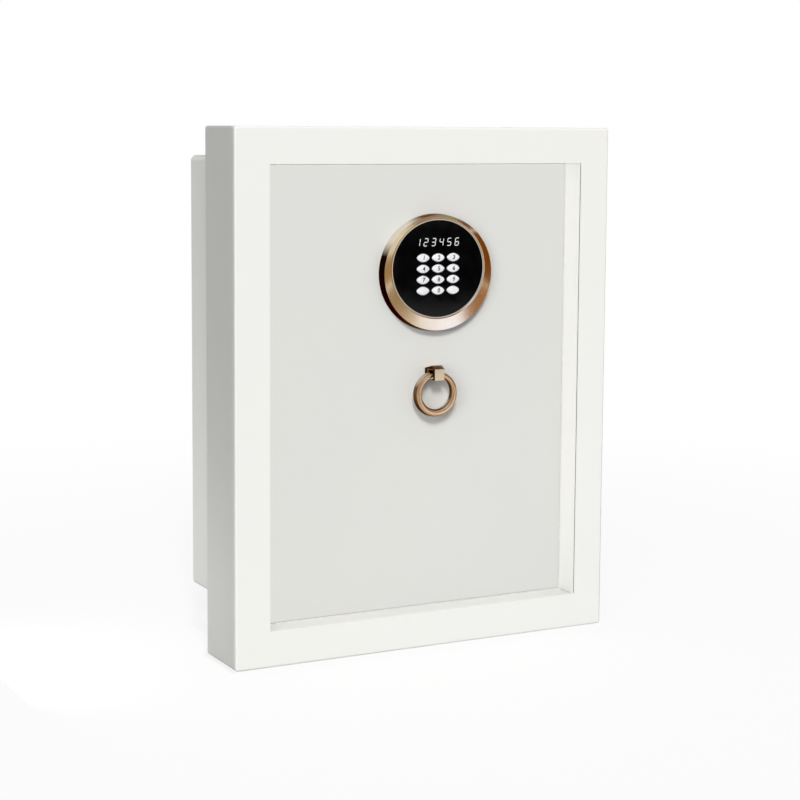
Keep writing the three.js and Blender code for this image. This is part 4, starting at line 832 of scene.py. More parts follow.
def extruded(
    outline: Sequence[Point], place: Callable[[float, float], Vector], depth: Vector
) -> bmesh.types.BMesh:
    """Extrudes a drawn outline into a closed solid.

    Args:
        outline: The outline's points.
        place: Turns a drawn point into one in the model.
        depth: The way and length of the extrusion.

    Returns:
        The solid.
    """
    mesh = bmesh.new()
    face = mesh.faces.new([mesh.verts.new(place(*point)) for point in outline])
    bmesh.ops.translate(mesh, verts=grown(mesh, [face]), vec=depth)
    return closed_up(mesh)


def bevelled(
    mesh: bmesh.types.BMesh, width: float, above: float = 50.0, segments: int = 3
) -> bmesh.types.BMesh:
    """Rounds every edge sharper than an angle.

    Args:
        mesh: The bmesh to round.
        width: Width of the bevel.
        above: The angle in degrees past which an edge counts as sharp.
        segments: Steps of the bevel.

    Returns:
        The same bmesh.
    """
    sharp = [
        edge
        for edge in mesh.edges
        if edge.is_manifold and edge.calc_face_angle(0.0) > math.radians(above)
    ]
    eased(mesh, sharp, width, segments, clamped=True)
    return mesh


def middle_of(node: str) -> Vector:
    """Returns the middle of a CAD node's box."""
    low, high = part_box(node)
    return (low + high) / 2


# CAD nodes that stay


class CarriedOver:
    """The CAD nodes that keep their own form: finish, smooth curves and nothing else."""

    def smoothing(self) -> bpy.types.NodeTree:
        """Returns nodes that join a node's loose triangles and shade its curves smooth."""
        group = bpy.data.node_groups.new("smooth_curves", "GeometryNodeTree")
        for way in ("INPUT", "OUTPUT"):
            group.interface.new_socket(
                "Geometry", in_out=way, socket_type="NodeSocketGeometry"
            )
        start, end = (group.nodes.new(f"NodeGroup{way}") for way in ("Input", "Output"))
        merge = group.nodes.new("GeometryNodeMergeByDistance")
        merge.inputs["Distance"].default_value = WELD
        faces, edges = (group.nodes.new("GeometryNodeSetShadeSmooth") for _ in range(2))
        faces.domain, edges.domain = "FACE", "EDGE"
        angle = group.nodes.new("GeometryNodeInputMeshEdgeAngle")
        below = group.nodes.new("FunctionNodeCompare")
        below.operation = "LESS_EQUAL"
        below.inputs["B"].default_value = SMOOTH_BELOW
        wire(
            group,
            (start.outputs[0], merge.inputs["Geometry"]),
            (merge.outputs[0], faces.inputs["Geometry"]),
            (faces.outputs[0], edges.inputs["Geometry"]),
            (angle.outputs["Unsigned Angle"], below.inputs["A"]),
            (below.outputs[0], edges.inputs["Shade Smooth"]),
            (edges.outputs[0], end.inputs[0]),
        )
        return group

    def dress(self) -> None:
        """Gives each shown CAD node the finish of its slot in the record."""
        group = self.smoothing()
        for part in frame["record"]["subparts"]:
            node = frame["nodes"][part["node"]]
            finish = FINISHES[Slot(part["material_slot"])]
            if node.material_slots:
                node.material_slots[0].material = finish.material()
            else:
                node.data.materials.append(finish.material())
            if node.hide_render:
                continue
            node.modifiers.new("smooth_curves", "NODES").node_group = group
            node.modifiers.new("flat_faces", "WEIGHTED_NORMAL").keep_sharp = True
            log.info("%s keeps its form in %s", node.name, finish.name)


# Keypad


@dataclass
class Keypad:
    """The keypad: off-centre bezel, trim ring, black face, display figures and twelve keys."""

    steps: int = 192
    edge_proud: float = 8.8 * MM
    edge_inset: float = 1.1 * MM
    edge_round: float = 0.35 * MM
    lip_proud: float = 11.0 * MM
    lip_width: float = 0.5 * MM
    lip_fall: float = 0.4 * MM
    trim_crown: float = 0.45
    seat: float = 0.3 * MM
    wall: float = 4.0 * MM
    ledge: float = 4.0 * MM
    ledge_thickness: float = 1.0 * MM
    hole_edge: float = 0.2 * MM
    key_flange: float = 0.55 * MM
    key_flange_thickness: float = 1.0 * MM
    key_stem_inset: float = 2.0 * MM
    key_ease: float = 0.32 * MM
    key_point: float = 1.15
    key_round: float = 0.9 * MM
    key_dome: float = 0.22 * MM
    dome_shares: tuple[float, ...] = (0.45, 0.8, 0.97)
    dome_power: float = 1.3
    key_steps: int = 64
    key_round_steps: int = 5
    figure_height: float = 3.5 * MM
    figure_cap: float = 0.7
    figure_weight: float = 0.1 * MM
    figure_slant: float = 0.12
    figure_shift: float = 0.1 * MM
    print_height: float = 0.04 * MM

    def __post_init__(self) -> None:
        """Reads the keypad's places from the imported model."""
        self.door_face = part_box("door_plate")[0].y
        low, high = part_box("keypad_lens")
        self.lens = (low + high) / 2
        self.lens_radius = (high.z - low.z) / 2
        self.stretch = (high.x - low.x) / (high.z - low.z)
        self.lens_front, self.lens_back = low.y, high.y
        low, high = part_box("keypad_bezel")
        self.bezel_middle = (low + high) / 2
        self.bezel_radius = (high.z - low.z) / 2
        low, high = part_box("keypad_trim_ring")
        self.trim_radius = (high.z - low.z) / 2
        self.trim_back, self.trim_front = high.y, low.y

    def round(
        self, mesh: bmesh.types.BMesh, middle: Vector, radius: float, y: float
    ) -> list[bmesh.types.BMVert]:
        """Returns one of the keypad's hoops, which are all a little wider than high."""
        centre = Vector((middle.x, y, middle.z))
        return hoop(mesh, centre, radius * self.stretch, radius, self.steps)

    def bezel(self) -> None:
        """Builds the bezel, whose front and lens bore don't share a centre."""
        mesh = bmesh.new()
        bore = self.trim_radius + self.seat
        front = self.bezel_radius - self.edge_inset
        ledge_front = self.door_face - (self.lens_back + self.seat)
        ledge_back = ledge_front - self.ledge_thickness
        off, on = self.bezel_middle, self.lens
        hollow = self.bezel_radius - self.wall
        rows = [
            (self.bezel_radius, off, self.seat),
            (front, off, self.edge_proud),
            (bore + self.lip_width, on, self.lip_proud),
            (bore, on, self.lip_proud - self.lip_fall),
            (bore, on, ledge_front),
            (bore - self.ledge, on, ledge_front),
            (bore - self.ledge, on, ledge_back),
            (hollow, off, ledge_back),
            (hollow, off, self.seat),
        ]
        hoops = [
            self.round(mesh, middle, radius, self.door_face - proud)
            for radius, middle, proud in rows
        ]
        bridged(mesh, hoops, ring=True)
        eased(mesh, edges_of(hoops[1:3]), self.edge_round, 4)
        finished(closed_up(mesh), "bezel_casting", "door", Slot.ROSE_GOLD, ["keypad_bezel"])

    def trim_ring(self) -> None:
        """Builds the thin ring between bezel and lens, with a rounded crown."""
        inner = self.lens_radius + self.seat
        crown = (self.trim_radius - inner) * self.trim_crown
        section = rounded(
            [
                (inner, self.trim_back, 0),
                (self.trim_radius, self.trim_back, 0),
                (self.trim_radius, self.trim_front, crown),
                (inner, self.trim_front, crown),
            ],
            steps=5,
        )
        mesh = bmesh.new()
        hoops = [self.round(mesh, self.lens, radius, y) for radius, y in section]
        bridged(mesh, hoops, ring=True)
        finished(closed_up(mesh), "trim_ring", "door", Slot.PALE_GOLD, ["keypad_trim_ring"])

    def key_nodes(self) -> list[str]:
        """Returns the names of the twelve keys."""
        return [name for name in frame["nodes"] if name.startswith("key_")]

    def lens_plate(self) -> None:
        """Builds the black face with an oval hole for each key."""
        mesh = bmesh.new()
        hoops = [self.round(mesh, self.lens, self.lens_radius, self.lens_front)]
        grow = self.seat - self.key_flange - self.key_ease
        for name in self.key_nodes():
            low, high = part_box(name)
            centre = Vector(((low.x + high.x) / 2, self.lens_front, (low.z + high.z) / 2))
            half = (high - low) / 2 + Vector((grow, 0, grow))
            hoops.append(hoop(mesh, centre, half.x, half.z, self.key_steps, self.key_point))
        bmesh.ops.triangle_fill(mesh, edges=edges_of(hoops), use_beauty=True, use_dissolve=False)
        depth = self.lens_back - self.lens_front
        bmesh.ops.translate(mesh, verts=grown(mesh, mesh.faces[:]), vec=(0, depth, 0))
        closed_up(mesh)
        rims = [
            edge
            for edge in mesh.edges
            if edge.calc_face_angle(0.0) > 1.0
            and all(abs(vert.co.y - self.lens_front) < WELD / 10 for vert in edge.verts)
        ]
        eased(mesh, rims, self.hole_edge, 2)
        finished(closed_up(mesh), "black_face", "door", Slot.BLACK_GLASS, ["keypad_lens"])

    def key(self, name: str) -> None:
        """Builds one key: domed cap, flange behind the lens, and stem."""
        low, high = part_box(name)
        middle = (low + high) / 2
        inset = self.key_flange + self.key_ease
        half = (high - low) / 2 - Vector((inset, 0, inset))
        flange_front = self.lens_back + self.seat
        flange_back = flange_front + self.key_flange_thickness
        top = low.y
        rows = [
            (-self.key_stem_inset, high.y),
            (-self.key_stem_inset, flange_back),
            (self.key_flange, flange_back),
            (self.key_flange, flange_front),
            (0.0, flange_front),
        ]
        shoulder = top + self.key_dome + self.key_round
        for step in range(self.key_round_steps + 1):
            turn = step / self.key_round_steps * math.pi / 2
            inwards = self.key_round * (1 - math.cos(turn))
            rows.append((-inwards, shoulder - self.key_round * math.sin(turn)))
        for share in self.dome_shares:
            sink = self.key_dome * (1 - share) ** self.dome_power
            rows.append((-self.key_round - share * (half.z - self.key_round), top + sink))
        mesh = bmesh.new()
        hoops = [
            hoop(
                mesh,
                Vector((middle.x, y, middle.z)),
                half.x + grow,
                half.z + grow,
                self.key_steps,
                self.key_point,
            )
            for grow, y in rows
        ]
        bridged(mesh, hoops, ring=False)
        finished(closed_up(mesh), name + "_cap", name, Slot.KEY_WHITE, [name])
        figure = name.removeprefix("key_")
        if figure.isdigit():
            self.figure(name, figure, Vector((middle.x, top, middle.z)))

    def figure(self, key: str, text: str, at: Vector) -> None:
        """Prints a digit on a key's cap.

        Args:
            key: The key's node and body.
            text: The digit.
            at: The middle of the cap's crown.
        """
        curve = bpy.data.curves.new(key + "_text", "FONT")
        curve.body = text
        curve.size = self.figure_height / self.figure_cap
        curve.align_x, curve.align_y = "CENTER", "CENTER"
        curve.extrude = self.print_height
        curve.offset = self.figure_weight
        curve.shear = self.figure_slant
        lettering = bpy.data.objects.new(key + "_text", curve)
        bpy.context.scene.collection.objects.link(lettering)
        graph = bpy.context.evaluated_depsgraph_get()
        data = bpy.data.meshes.new_from_object(lettering.evaluated_get(graph))
        bpy.data.objects.remove(lettering)
        bpy.data.curves.remove(curve)
        mesh = bmesh.new()
        mesh.from_mesh(data)
        bpy.data.meshes.remove(data)
        turn = Matrix.Rotation(math.pi / 2, 4, "X")
        place = Matrix.Translation(at + Vector((self.figure_shift, 0, 0)))
        bmesh.ops.transform(mesh, matrix=place @ turn, verts=mesh.verts)
        finished(closed_up(mesh), key + "_figure", key, Slot.BLACK_PLASTIC, finish=PRINTED_BLACK)

    def build(self) -> None:
        """Builds the whole keypad."""
        self.bezel()
        self.trim_ring()
        self.lens_plate()
        for name in self.key_nodes():
            self.key(name)
        Display(self.lens_front).build()


@dataclass
class Display:
    """Six slanted seven-segment figures on the black face."""

    face: float
    text: str = "123456"
    height: float = 6.9 * MM
    width: float = 4.1 * MM
    stroke: float = 0.68 * MM
    gap: float = 0.1 * MM
    pitch: float = 7.6 * MM
    aside: float = -0.7 * MM
    slant: float = math.tan(math.radians(10))
    relief: float = 0.03 * MM

    segments = {"1": "bc", "2": "abged", "3": "abgcd", "4": "fgbc", "5": "afgcd", "6": "afgedc"}

    def bar(self, mesh: bmesh.types.BMesh, start: Vector, end: Vector) -> None:
        """Adds one segment: a thin bar with pointed ends.

        Args:
            mesh: The bmesh to add to.
            start: One end, in the plane of the display.
            end: The other end.
        """
        along = (end - start).normalized()
        across = Vector((-along.z, 0, along.x)) * (self.stroke / 2)
        inset = along * (self.gap + self.stroke / 2)
        tip = along * self.gap
        points = [
            start + tip,
            start + inset + across,
            end - inset + across,
            end - tip,
            end - inset - across,
            start + inset - across,
        ]
        corners = [mesh.verts.new((p.x + p.z * self.slant, p.y, p.z)) for p in points]
        fresh = grown(mesh, [mesh.faces.new(corners)])
        bmesh.ops.translate(mesh, verts=fresh, vec=(0, -2 * self.relief, 0))

    def build(self) -> None:
        """Builds the six figures as one piece over the display window."""
        middle = middle_of("display_module")
        mesh = bmesh.new()
        half_w, half_h = (self.width - self.stroke) / 2, (self.height - self.stroke) / 2
        left, right = -half_w, half_w
        ends = {
            "a": ((left, half_h), (right, half_h)),
            "b": ((right, half_h), (right, 0)),
            "c": ((right, 0), (right, -half_h)),
            "d": ((left, -half_h), (right, -half_h)),
            "e": ((left, 0), (left, -half_h)),
            "f": ((left, half_h), (left, 0)),
            "g": ((left, 0), (right, 0)),
        }
        for place, figure in enumerate(self.text):
            shift = (place - (len(self.text) - 1) / 2) * self.pitch
            for segment in self.segments[figure]:
                (x0, z0), (x1, z1) = ends[segment]
                self.bar(mesh, Vector((x0 + shift, 0, z0)), Vector((x1 + shift, 0, z1)))
        place = Vector((middle.x + self.aside, self.face + self.relief, middle.z))
        bmesh.ops.translate(mesh, verts=mesh.verts, vec=place)
        finished(closed_up(mesh), "display_figures", "door", Slot.KEY_WHITE, finish=LIT_WHITE)


# Ring pull


@dataclass
class RingPull:
    """The square hook on the door and the ring that hangs in it."""

    bore: float = 13.7 * MM
    bore_flare: float = 1.3 * MM
    outside: float = 20.2 * MM
    outside_flare: float = 1.0 * MM
    depth: float = 8.2 * MM
    stretch: float = 1.035
    heavy: float = 1.0 * MM
    corner: float = 2.4 * MM
    steps: int = 144
    plate: float = 3.3 * MM
    arm: float = 2.8 * MM
    lip: float = 1.4 * MM
    lip_length: float = 2.0 * MM
    foot: float = 6.2 * MM
    fall_front: float = 2.8 * MM
    fall_depth: float = 5.2 * MM
    fall_back: float = 3.2 * MM
    lift: float = 0.6 * MM
    narrow: float = 0.2 * MM
    edge: float = 0.35 * MM

    def ring(self) -> None:
        """Builds the ring, flared towards the door and heavier at the bottom."""
        low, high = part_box("pull_ring")
        middle = (low + high) / 2
        front, back = middle.y - self.depth / 2, middle.y + self.depth / 2
        section = rounded(
            [
                (self.bore, front, self.corner),
                (self.outside - self.outside_flare, front, self.corner),
                (self.outside, back, self.corner),
                (self.bore + self.bore_flare, back, self.corner),
            ],
            steps=8,
        )
        hang = high.z - self.outside
        mesh = bmesh.new()
        hoops = []
        for radius, y in section:
            rise = self.heavy * (self.outside - radius) / (self.outside - self.bore)
            centre = Vector((middle.x, y, hang + rise))
            hoops.append(hoop(mesh, centre, radius * self.stretch, radius, self.steps))
        bridged(mesh, hoops, ring=True)
        finished(closed_up(mesh), "ring", "ring", Slot.ROSE_GOLD, ["pull_ring"], RING_GOLD)

    def hook(self) -> None:
        """Builds the hook: foot, arm, front plate and the lip that turns back."""
        low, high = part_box("ring_bracket")
        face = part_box("door_plate")[0].y
        front = low.y + self.plate
        under, top, bottom = high.z - self.arm, high.z + self.lift, low.z + self.lift
        lip_top = bottom + self.lip
        outline = [
            (high.y, bottom),
            (face - self.foot, bottom),
            (face - self.foot, under),
            (front, under),
            (front, lip_top),
            (front + self.lip_length, lip_top),
            (front + self.lip_length, bottom),
            (low.y, bottom),
            (low.y, top - self.fall_front),
            (low.y + self.fall_depth, top),
            (high.y, top - self.fall_back),
        ]
        width = high.x - low.x - self.narrow
        mesh = extruded(outline, lambda y, z: Vector((low.x, y, z)), Vector((width, 0, 0)))
        bevelled(mesh, self.edge, 20, 3)
        finished(mesh, "ring_hook", "door", Slot.ROSE_GOLD, ["ring_bracket"], HOOK_GOLD)

    def build(self) -> None:
        """Builds the ring pull."""
        self.ring()
        self.hook()


# Small pieces, most of them round


@dataclass(frozen=True)
class TurnedPart:
    """A small round part that stands for one CAD node."""

    node: str
    name: str
    body: str
    slot: Slot
    axis: Axis
    outline: Sequence[tuple[float, float, float]]
    steps: int = 64

    def mesh(self) -> bmesh.types.BMesh:
        """Returns the part's form; the outline gives radius, place and rounding in mm."""
        centre = middle_of(self.node)
        centre -= Vector(self.axis.value) * centre.dot(Vector(self.axis.value))
        corners = [(radius * MM, place * MM, edge * MM) for radius, place, edge in self.outline]
        return turned(rounded(corners), self.axis, centre, self.steps)

    def build(self) -> None:
        """Builds the part in the place of its node."""
        finished(self.mesh(), self.name, self.body, self.slot, [self.node])


@dataclass
class Hinges:
    """The door's two steel pins and the bushes, painted with the frame, that they turn in."""

    bore: float = 2.3
    sleeve: float = 3.7
    flange: float = 5.5
    flange_thickness: float = 1.2
    pin: float = 2.0
    edge: float = 0.3
    groove_from_tip: float = 4.5

    def bush(self, end: str, low: float, flange_at: float, high: float) -> TurnedPart:
        """Returns one bush.

        Args:
            end: Which hinge, top or bottom.
            low: Its lower end, in mm.
            flange_at: The flange's lower face.
            high: Its upper end.

        Returns:
            The bush.
        """
        outline = (
            (self.bore, low, self.edge),
            (self.sleeve, low, self.edge),
            (self.sleeve, flange_at, 0),
            (self.flange, flange_at, self.edge),
            (self.flange, flange_at + self.flange_thickness, self.edge),
            (self.sleeve, flange_at + self.flange_thickness, 0),
            (self.sleeve, high, self.edge),
            (self.bore, high, self.edge),
        )
        node = "hinge_bush_" + end
        name = "bush_" + end
        return TurnedPart(node, name, "surround", Slot.WHITE_PAINT, Axis.Z, outline)

    def shaft(self, end: str, root: float, tip: float) -> TurnedPart:
        """Returns one pin, with a grease groove and a rounded tip.

        Args:
            end: Which hinge, top or bottom.
            root: Where the pin begins in the door, in mm.
            tip: Where it ends in the bush.

        Returns:
            The pin.
        """
        way = math.copysign(1.0, tip - root)
        groove = tip - self.groove_from_tip * way
        outline = (
            (0, root, 0),
            (self.pin, root, self.edge),
            (self.pin, groove - 0.5 * way, 0.1),
            (self.pin - 0.25, groove - 0.25 * way, 0.1),
            (self.pin - 0.25, groove + 0.25 * way, 0.1),
            (self.pin, groove + 0.5 * way, 0.1),
            (self.pin, tip - 0.8 * way, 0.4),
            (self.pin - 0.8, tip, 0.3),
            (0, tip, 0),
        )
        node = "hinge_pin_" + end
        return TurnedPart(node, "pin_" + end, "door", Slot.BRIGHT_STEEL, Axis.Z, outline, 48)

    def build(self) -> None:
        """Builds both hinges."""
        self.bush("top", 401.0, 403.3, 409.0).build()
        self.bush("bottom", 5.0, 9.5, 13.7).build()
        self.shaft("top", 384.0, 409.0).build()
        self.shaft("bottom", 30.0, 5.0).build()


@dataclass
class SeamShadowStripAndCap:
    """A black strip that paints the shadow line in the jamb's seam, and the white cap over the
    jamb.
    """

    play: float = 0.1 * MM
    width: float = 0.6 * MM
    sunk: float = 0.25 * MM
    depth: float = 0.9 * MM
    edge: float = 0.12 * MM
    jamb_sheet: float = 1.5 * MM
    cap_in: float = 0.04 * MM
    cap_from: float = 1.2 * MM
    cap_height: float = 1.47 * MM

    def build(self) -> None:
        """Builds the strip over the jamb's whole height, and the cap on its end."""
        low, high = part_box("strike_jamb")
        left = low.x + self.jamb_sheet + self.play
        front = low.y + self.sunk
        # Painted shadow: the black strip darkens the seam like its shadow line.
        strip = self.upright(left, left + self.width, front, front + self.depth, low.z, high.z)
        finished(strip, "jamb_seal", "surround", Slot.RUBBER)
        left, right = low.x + self.cap_in, low.x + self.jamb_sheet - self.cap_in
        front, back = low.y + self.cap_from, high.y - self.jamb_sheet
        cap = self.upright(left, right, front, back, high.z, high.z + self.cap_height)
        finished(cap, "jamb_cap", "surround", Slot.KEY_WHITE, finish=WHITE_SEAL)

    def upright(
        self, left: float, right: float, front: float, back: float, low: float, high: float
    ) -> bmesh.types.BMesh:
        """Returns an upright strip with rounded edges.

        Args:
            left: Its left side.
            right: Its right side.
            front: Its front.
            back: Its back.
            low: Its lower end.
            high: Its upper end.

        Returns:
            The strip.
        """
        outline = rounded(
            [
                (left, front, self.edge),
                (right, front, self.edge),
                (right, back, self.edge),
                (left, back, self.edge),
            ]
        )
        return extruded(outline, lambda x, y: Vector((x, y, low)), Vector((0, 0, high - low)))


@dataclass
class GapSeal:
    """The white lip in the gap round the door, on every side but the hinges'."""

    gap: float = 1.0 * MM
    play: float = 0.15 * MM
    seated: float = 0.05 * MM
    sunk: float = 0.3 * MM
    depth: float = 2.2 * MM
    edge: float = 0.2 * MM
    past_hinge: float = -134.9 * MM
    before_hinge: float = -143.1 * MM

    def build(self) -> None:
        """Builds the strips above, below and beside the door, past each hinge and before it."""
        low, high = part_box("door_plate")
        front = low.y + self.sunk
        back = front + self.depth
        outside = self.gap + self.seated
        outline = rounded(
            [
                (self.play, front, self.edge),
                (outside, front, 0),
                (outside, back, 0),
                (self.play, back, self.edge),
            ]
        )
        start = self.past_hinge
        along = Vector((high.x + outside - start, 0, 0))
        up = Vector((0, 0, high.z - low.z + 2 * self.play))
        foot = low.z - self.play
        first = low.x - self.gap
        ahead = Vector((self.before_hinge - first, 0, 0))
        for name, place, way in (
            ("top_end", lambda a, y: Vector((first, y, high.z + a)), ahead),
            ("bottom_end", lambda a, y: Vector((first, y, low.z - a)), ahead),
            ("top", lambda a, y: Vector((start, y, high.z + a)), along),
            ("bottom", lambda a, y: Vector((start, y, low.z - a)), along),
            ("side", lambda a, y: Vector((high.x + a, y, foot)), up),
        ):
            mesh = extruded(outline, place, way)
            name = "gap_seal_" + name
            finished(mesh, name, "surround", Slot.KEY_WHITE, finish=WHITE_SEAL)


@dataclass
class Buffers:
    """The two rubber buffers that the door shuts against."""

    radius: float = 5.0
    stem: float = 1.7
    face: float = -35.2
    seat: float = -28.61

    def build(self) -> None:
        """Builds both buffers, each with its barbed stem through the stop frame."""
        outline = (
            (0, self.face + 0.35, 0),
            (2.6, self.face + 0.25, 0.4),
            (3.2, self.face, 0.5),
            (self.radius, self.face, 1.6),
            (self.radius, self.seat, 0.4),
            (self.stem, self.seat, 0),
            (self.stem, self.seat + 3.6, 0),
            (self.stem + 0.9, self.seat + 3.6, 0.3),
            (self.stem, self.seat + 5.8, 0.4),
            (0, self.seat + 5.8, 0),
        )
        for end in ("top", "bottom"):
            node = "door_buffer_" + end
            TurnedPart(node, "buffer_" + end, "surround", Slot.RUBBER, Axis.Y, outline).build()


@dataclass
class LockWork:
    """The two round bolts and the motor that drives them."""

    bolt: float = 7.0
    spigot: float = 3.0
    can: float = 8.0
    flat: float = 6.4 * MM

    def bolts(self) -> None:
        """Builds the bolts with a ground body, a turned ring and a chamfered nose."""
        outline = (
            (0, 69.5, 0),
            (self.spigot, 69.5, 0.4),
            (self.spigot, 74.1, 0),
            (self.bolt, 74.1, 0.6),
            (self.bolt, 129.6, 0.1),
            (self.bolt - 0.3, 129.9, 0.1),
            (self.bolt - 0.3, 130.4, 0.1),
            (self.bolt, 130.7, 0.1),
            (self.bolt, 132.8, 0.6),
            (self.bolt - 1.2, 134.0, 0.6),
            (0, 134.0, 0),
        )
        for end in ("top", "bottom"):
            node = "bolt_" + end
            name = "lock_bolt_" + end
            TurnedPart(node, name, "bolt_work", Slot.BRIGHT_STEEL, Axis.X, outline, 96).build()

    def motor(self) -> None:
        """Builds the motor: a can with two flats, its rolled edge and the bearing nub."""
        outline = (
            (0, 240.3, 0),
            (self.can, 240.3, 0.5),
            (self.can, 264.2, 0.2),
            (self.can - 0.4, 264.6, 0.2),
            (self.can - 0.4, 265.4, 0.2),
            (self.can, 265.8, 0.2),
            (self.can, 270.3, 1.2),
            (2.8, 270.3, 0.3),
            (2.8, 272.3, 0.5),
            (0, 272.3, 0),
        )
        part = TurnedPart("drive_motor", "motor", "door", Slot.ZINC, Axis.Z, outline)
        mesh = part.mesh()
        middle = middle_of("drive_motor").y
        for vert in mesh.verts:
            vert.co.y = min(max(vert.co.y, middle - self.flat), middle + self.flat)
        finished(mesh, part.name, part.body, part.slot, [part.node])

    def build(self) -> None:
        """Builds bolts and motor."""
        self.bolts()
        self.motor()


@dataclass
class Cells:
    """The four plain cells, each a steel can in a shrunk wrap; every second one lies turned."""

    count: int = 4
    wrap: float = 7.25
    foil: float = 0.15
    lip: float = 5.9
    long: float = 49.3
    nub: float = 2.75
    nub_long: float = 1.2

    def build(self) -> None:
        """Builds the cells."""
        sleeve = (
            (self.lip, 0, 0),
            (self.wrap, 0, 0.8),
            (self.wrap, self.long, 0.8),
            (self.lip, self.long, 0),
            (self.lip, self.long - self.foil, 0),
            (self.wrap - self.foil, self.long - self.foil, 0.7),
            (self.wrap - self.foil, self.foil, 0.7),
            (self.lip, self.foil, 0),
        )
        tip = self.long + self.nub_long
        can = (
            (0, 0.3, 0),
            (self.wrap - 0.25, 0.3, 0.7),
            (self.wrap - 0.25, self.long - 0.3, 0.7),
            (4.6, self.long - 0.3, 0.2),
            (4.3, self.long - 0.8, 0.1),
            (self.nub + 0.2, self.long - 0.8, 0.1),
            (self.nub, tip, 0.4),
            (0, tip, 0),
        )
        for number in range(1, self.count + 1):
            node = f"battery_{number}"
            low, high = (corner.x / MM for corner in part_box(node))
            turn = number % 2 == 0
            wrap = TURNED_CELL_WRAP if turn else None
            for name, outline, slot, replaced, finish in (
                ("sleeve", sleeve, Slot.CELL_WRAP, [node], wrap),
                ("can", can, Slot.BRIGHT_STEEL, (), None),
            ):
                placed = [(r, high - a if turn else low + a, e) for r, a, e in outline]
                part = TurnedPart(node, f"cell_{number}_{name}", "door", slot, Axis.X, placed)
                finished(part.mesh(), part.name, "door", slot, replaced, finish)


@dataclass
class ResetButton:
    """The red button on the inside of the door."""

    stem: float = 2.0
    flange: float = 5.0
    cap: float = 3.5

    def build(self) -> None:
        """Builds stem, flange and a cap with a shallow dish for the finger."""
        outline = (
            (0, -4.1, 0),
            (self.stem, -4.1, 0.4),
            (self.stem, 2.0, 0),
            (self.flange, 2.0, 0.3),
            (self.flange, 3.5, 0.3),
            (self.cap, 3.5, 0),
            (self.cap, 6.5, 0.7),
            (1.8, 6.3, 1.0),
            (0, 6.25, 0),
        )
        slot = Slot.RED_PLASTIC
        TurnedPart("reset_button", "reset_cap", "reset", slot, Axis.Y, outline).build()


@dataclass
class CrossScrews:
    """The seven cross-headed screws that are driven from inside the door."""

    shank: float = 1.7 * MM
    root: float = 1.38 * MM
    pitch: float = 0.7 * MM
    head: float = 3.4 * MM
    crown: float = 2.1 * MM
    rim: float = 1.0 * MM
    head_height: float = 2.2 * MM
    reach: float = 1.75 * MM
    arm: float = 0.36 * MM
    sink: float = 1.3 * MM
    taper: float = 0.6
    tip: float = 0.7
    lead: float = 0.3 * MM
    steps: int = 48
    crown_steps: int = 5

    def cross(
        self, mesh: bmesh.types.BMesh, at: Vector, share: float
    ) -> list[bmesh.types.BMVert]:
        """Adds the outline of the driver's cross.

        Args:
            mesh: The bmesh to add to.
            at: The cross's middle.
            share: Its size as a share of the full one.

        Returns:
            The twelve corners in order.
        """
        arm, reach = self.arm * share, self.reach * share
        corners = []
        for x, z in ((1, 0), (0, -1), (-1, 0), (0, 1)):
            for out, side in ((reach, arm), (reach, -arm), (arm, -arm)):
                spot = Vector((x * out - z * side, 0, z * out + x * side))
                corners.append(mesh.verts.new(at + spot))
        for i, corner in enumerate(corners):
            mesh.edges.new((corners[i - 1], corner))
        return corners

    def screw(self, node: str) -> None:
        """Builds one screw: tip, thread, domed head and cross."""
        low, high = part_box(node)
        middle = (low + high) / 2
        seat = high.y - self.head_height
        rows = [(self.root * self.tip, low.y), (self.root, low.y + self.lead)]
        y = low.y + 2 * self.lead
        while y < seat - self.pitch:
            rows += [(self.shank, y), (self.root, y + self.pitch / 2)]
            y += self.pitch
        rows += [(self.shank, y), (self.shank, seat), (self.head, seat)]
        for step in range(self.crown_steps + 1):
            turn = step / self.crown_steps * math.pi / 2
            rise = self.rim + (self.head_height - self.rim) * math.sin(turn)
            rows.append((self.crown + (self.head - self.crown) * math.cos(turn), seat + rise))
        mesh = bmesh.new()
        hoops = [
            hoop(mesh, Vector((middle.x, y, middle.z)), radius, radius, self.steps)
            for radius, y in rows
        ]
        mesh.faces.new(hoops[0])
        walled(mesh, hoops)
        top = self.cross(mesh, Vector((middle.x, high.y, middle.z)), 1.0)
        floor = self.cross(mesh, Vector((middle.x, high.y - self.sink, middle.z)), self.taper)
        bmesh.ops.triangle_fill(
            mesh, edges=edges_of([hoops[-1], top]), use_beauty=True, use_dissolve=False
        )
        walled(mesh, [top, floor])
        mesh.faces.new(floor)
        finished(closed_up(mesh), node + "_driven", "door", Slot.ZINC, [node])

    def build(self) -> None:
        """Builds all the screws."""
        for name in frame["nodes"]:
            if name.endswith("_screw") or "_screw_" in name:
                self.screw(name)


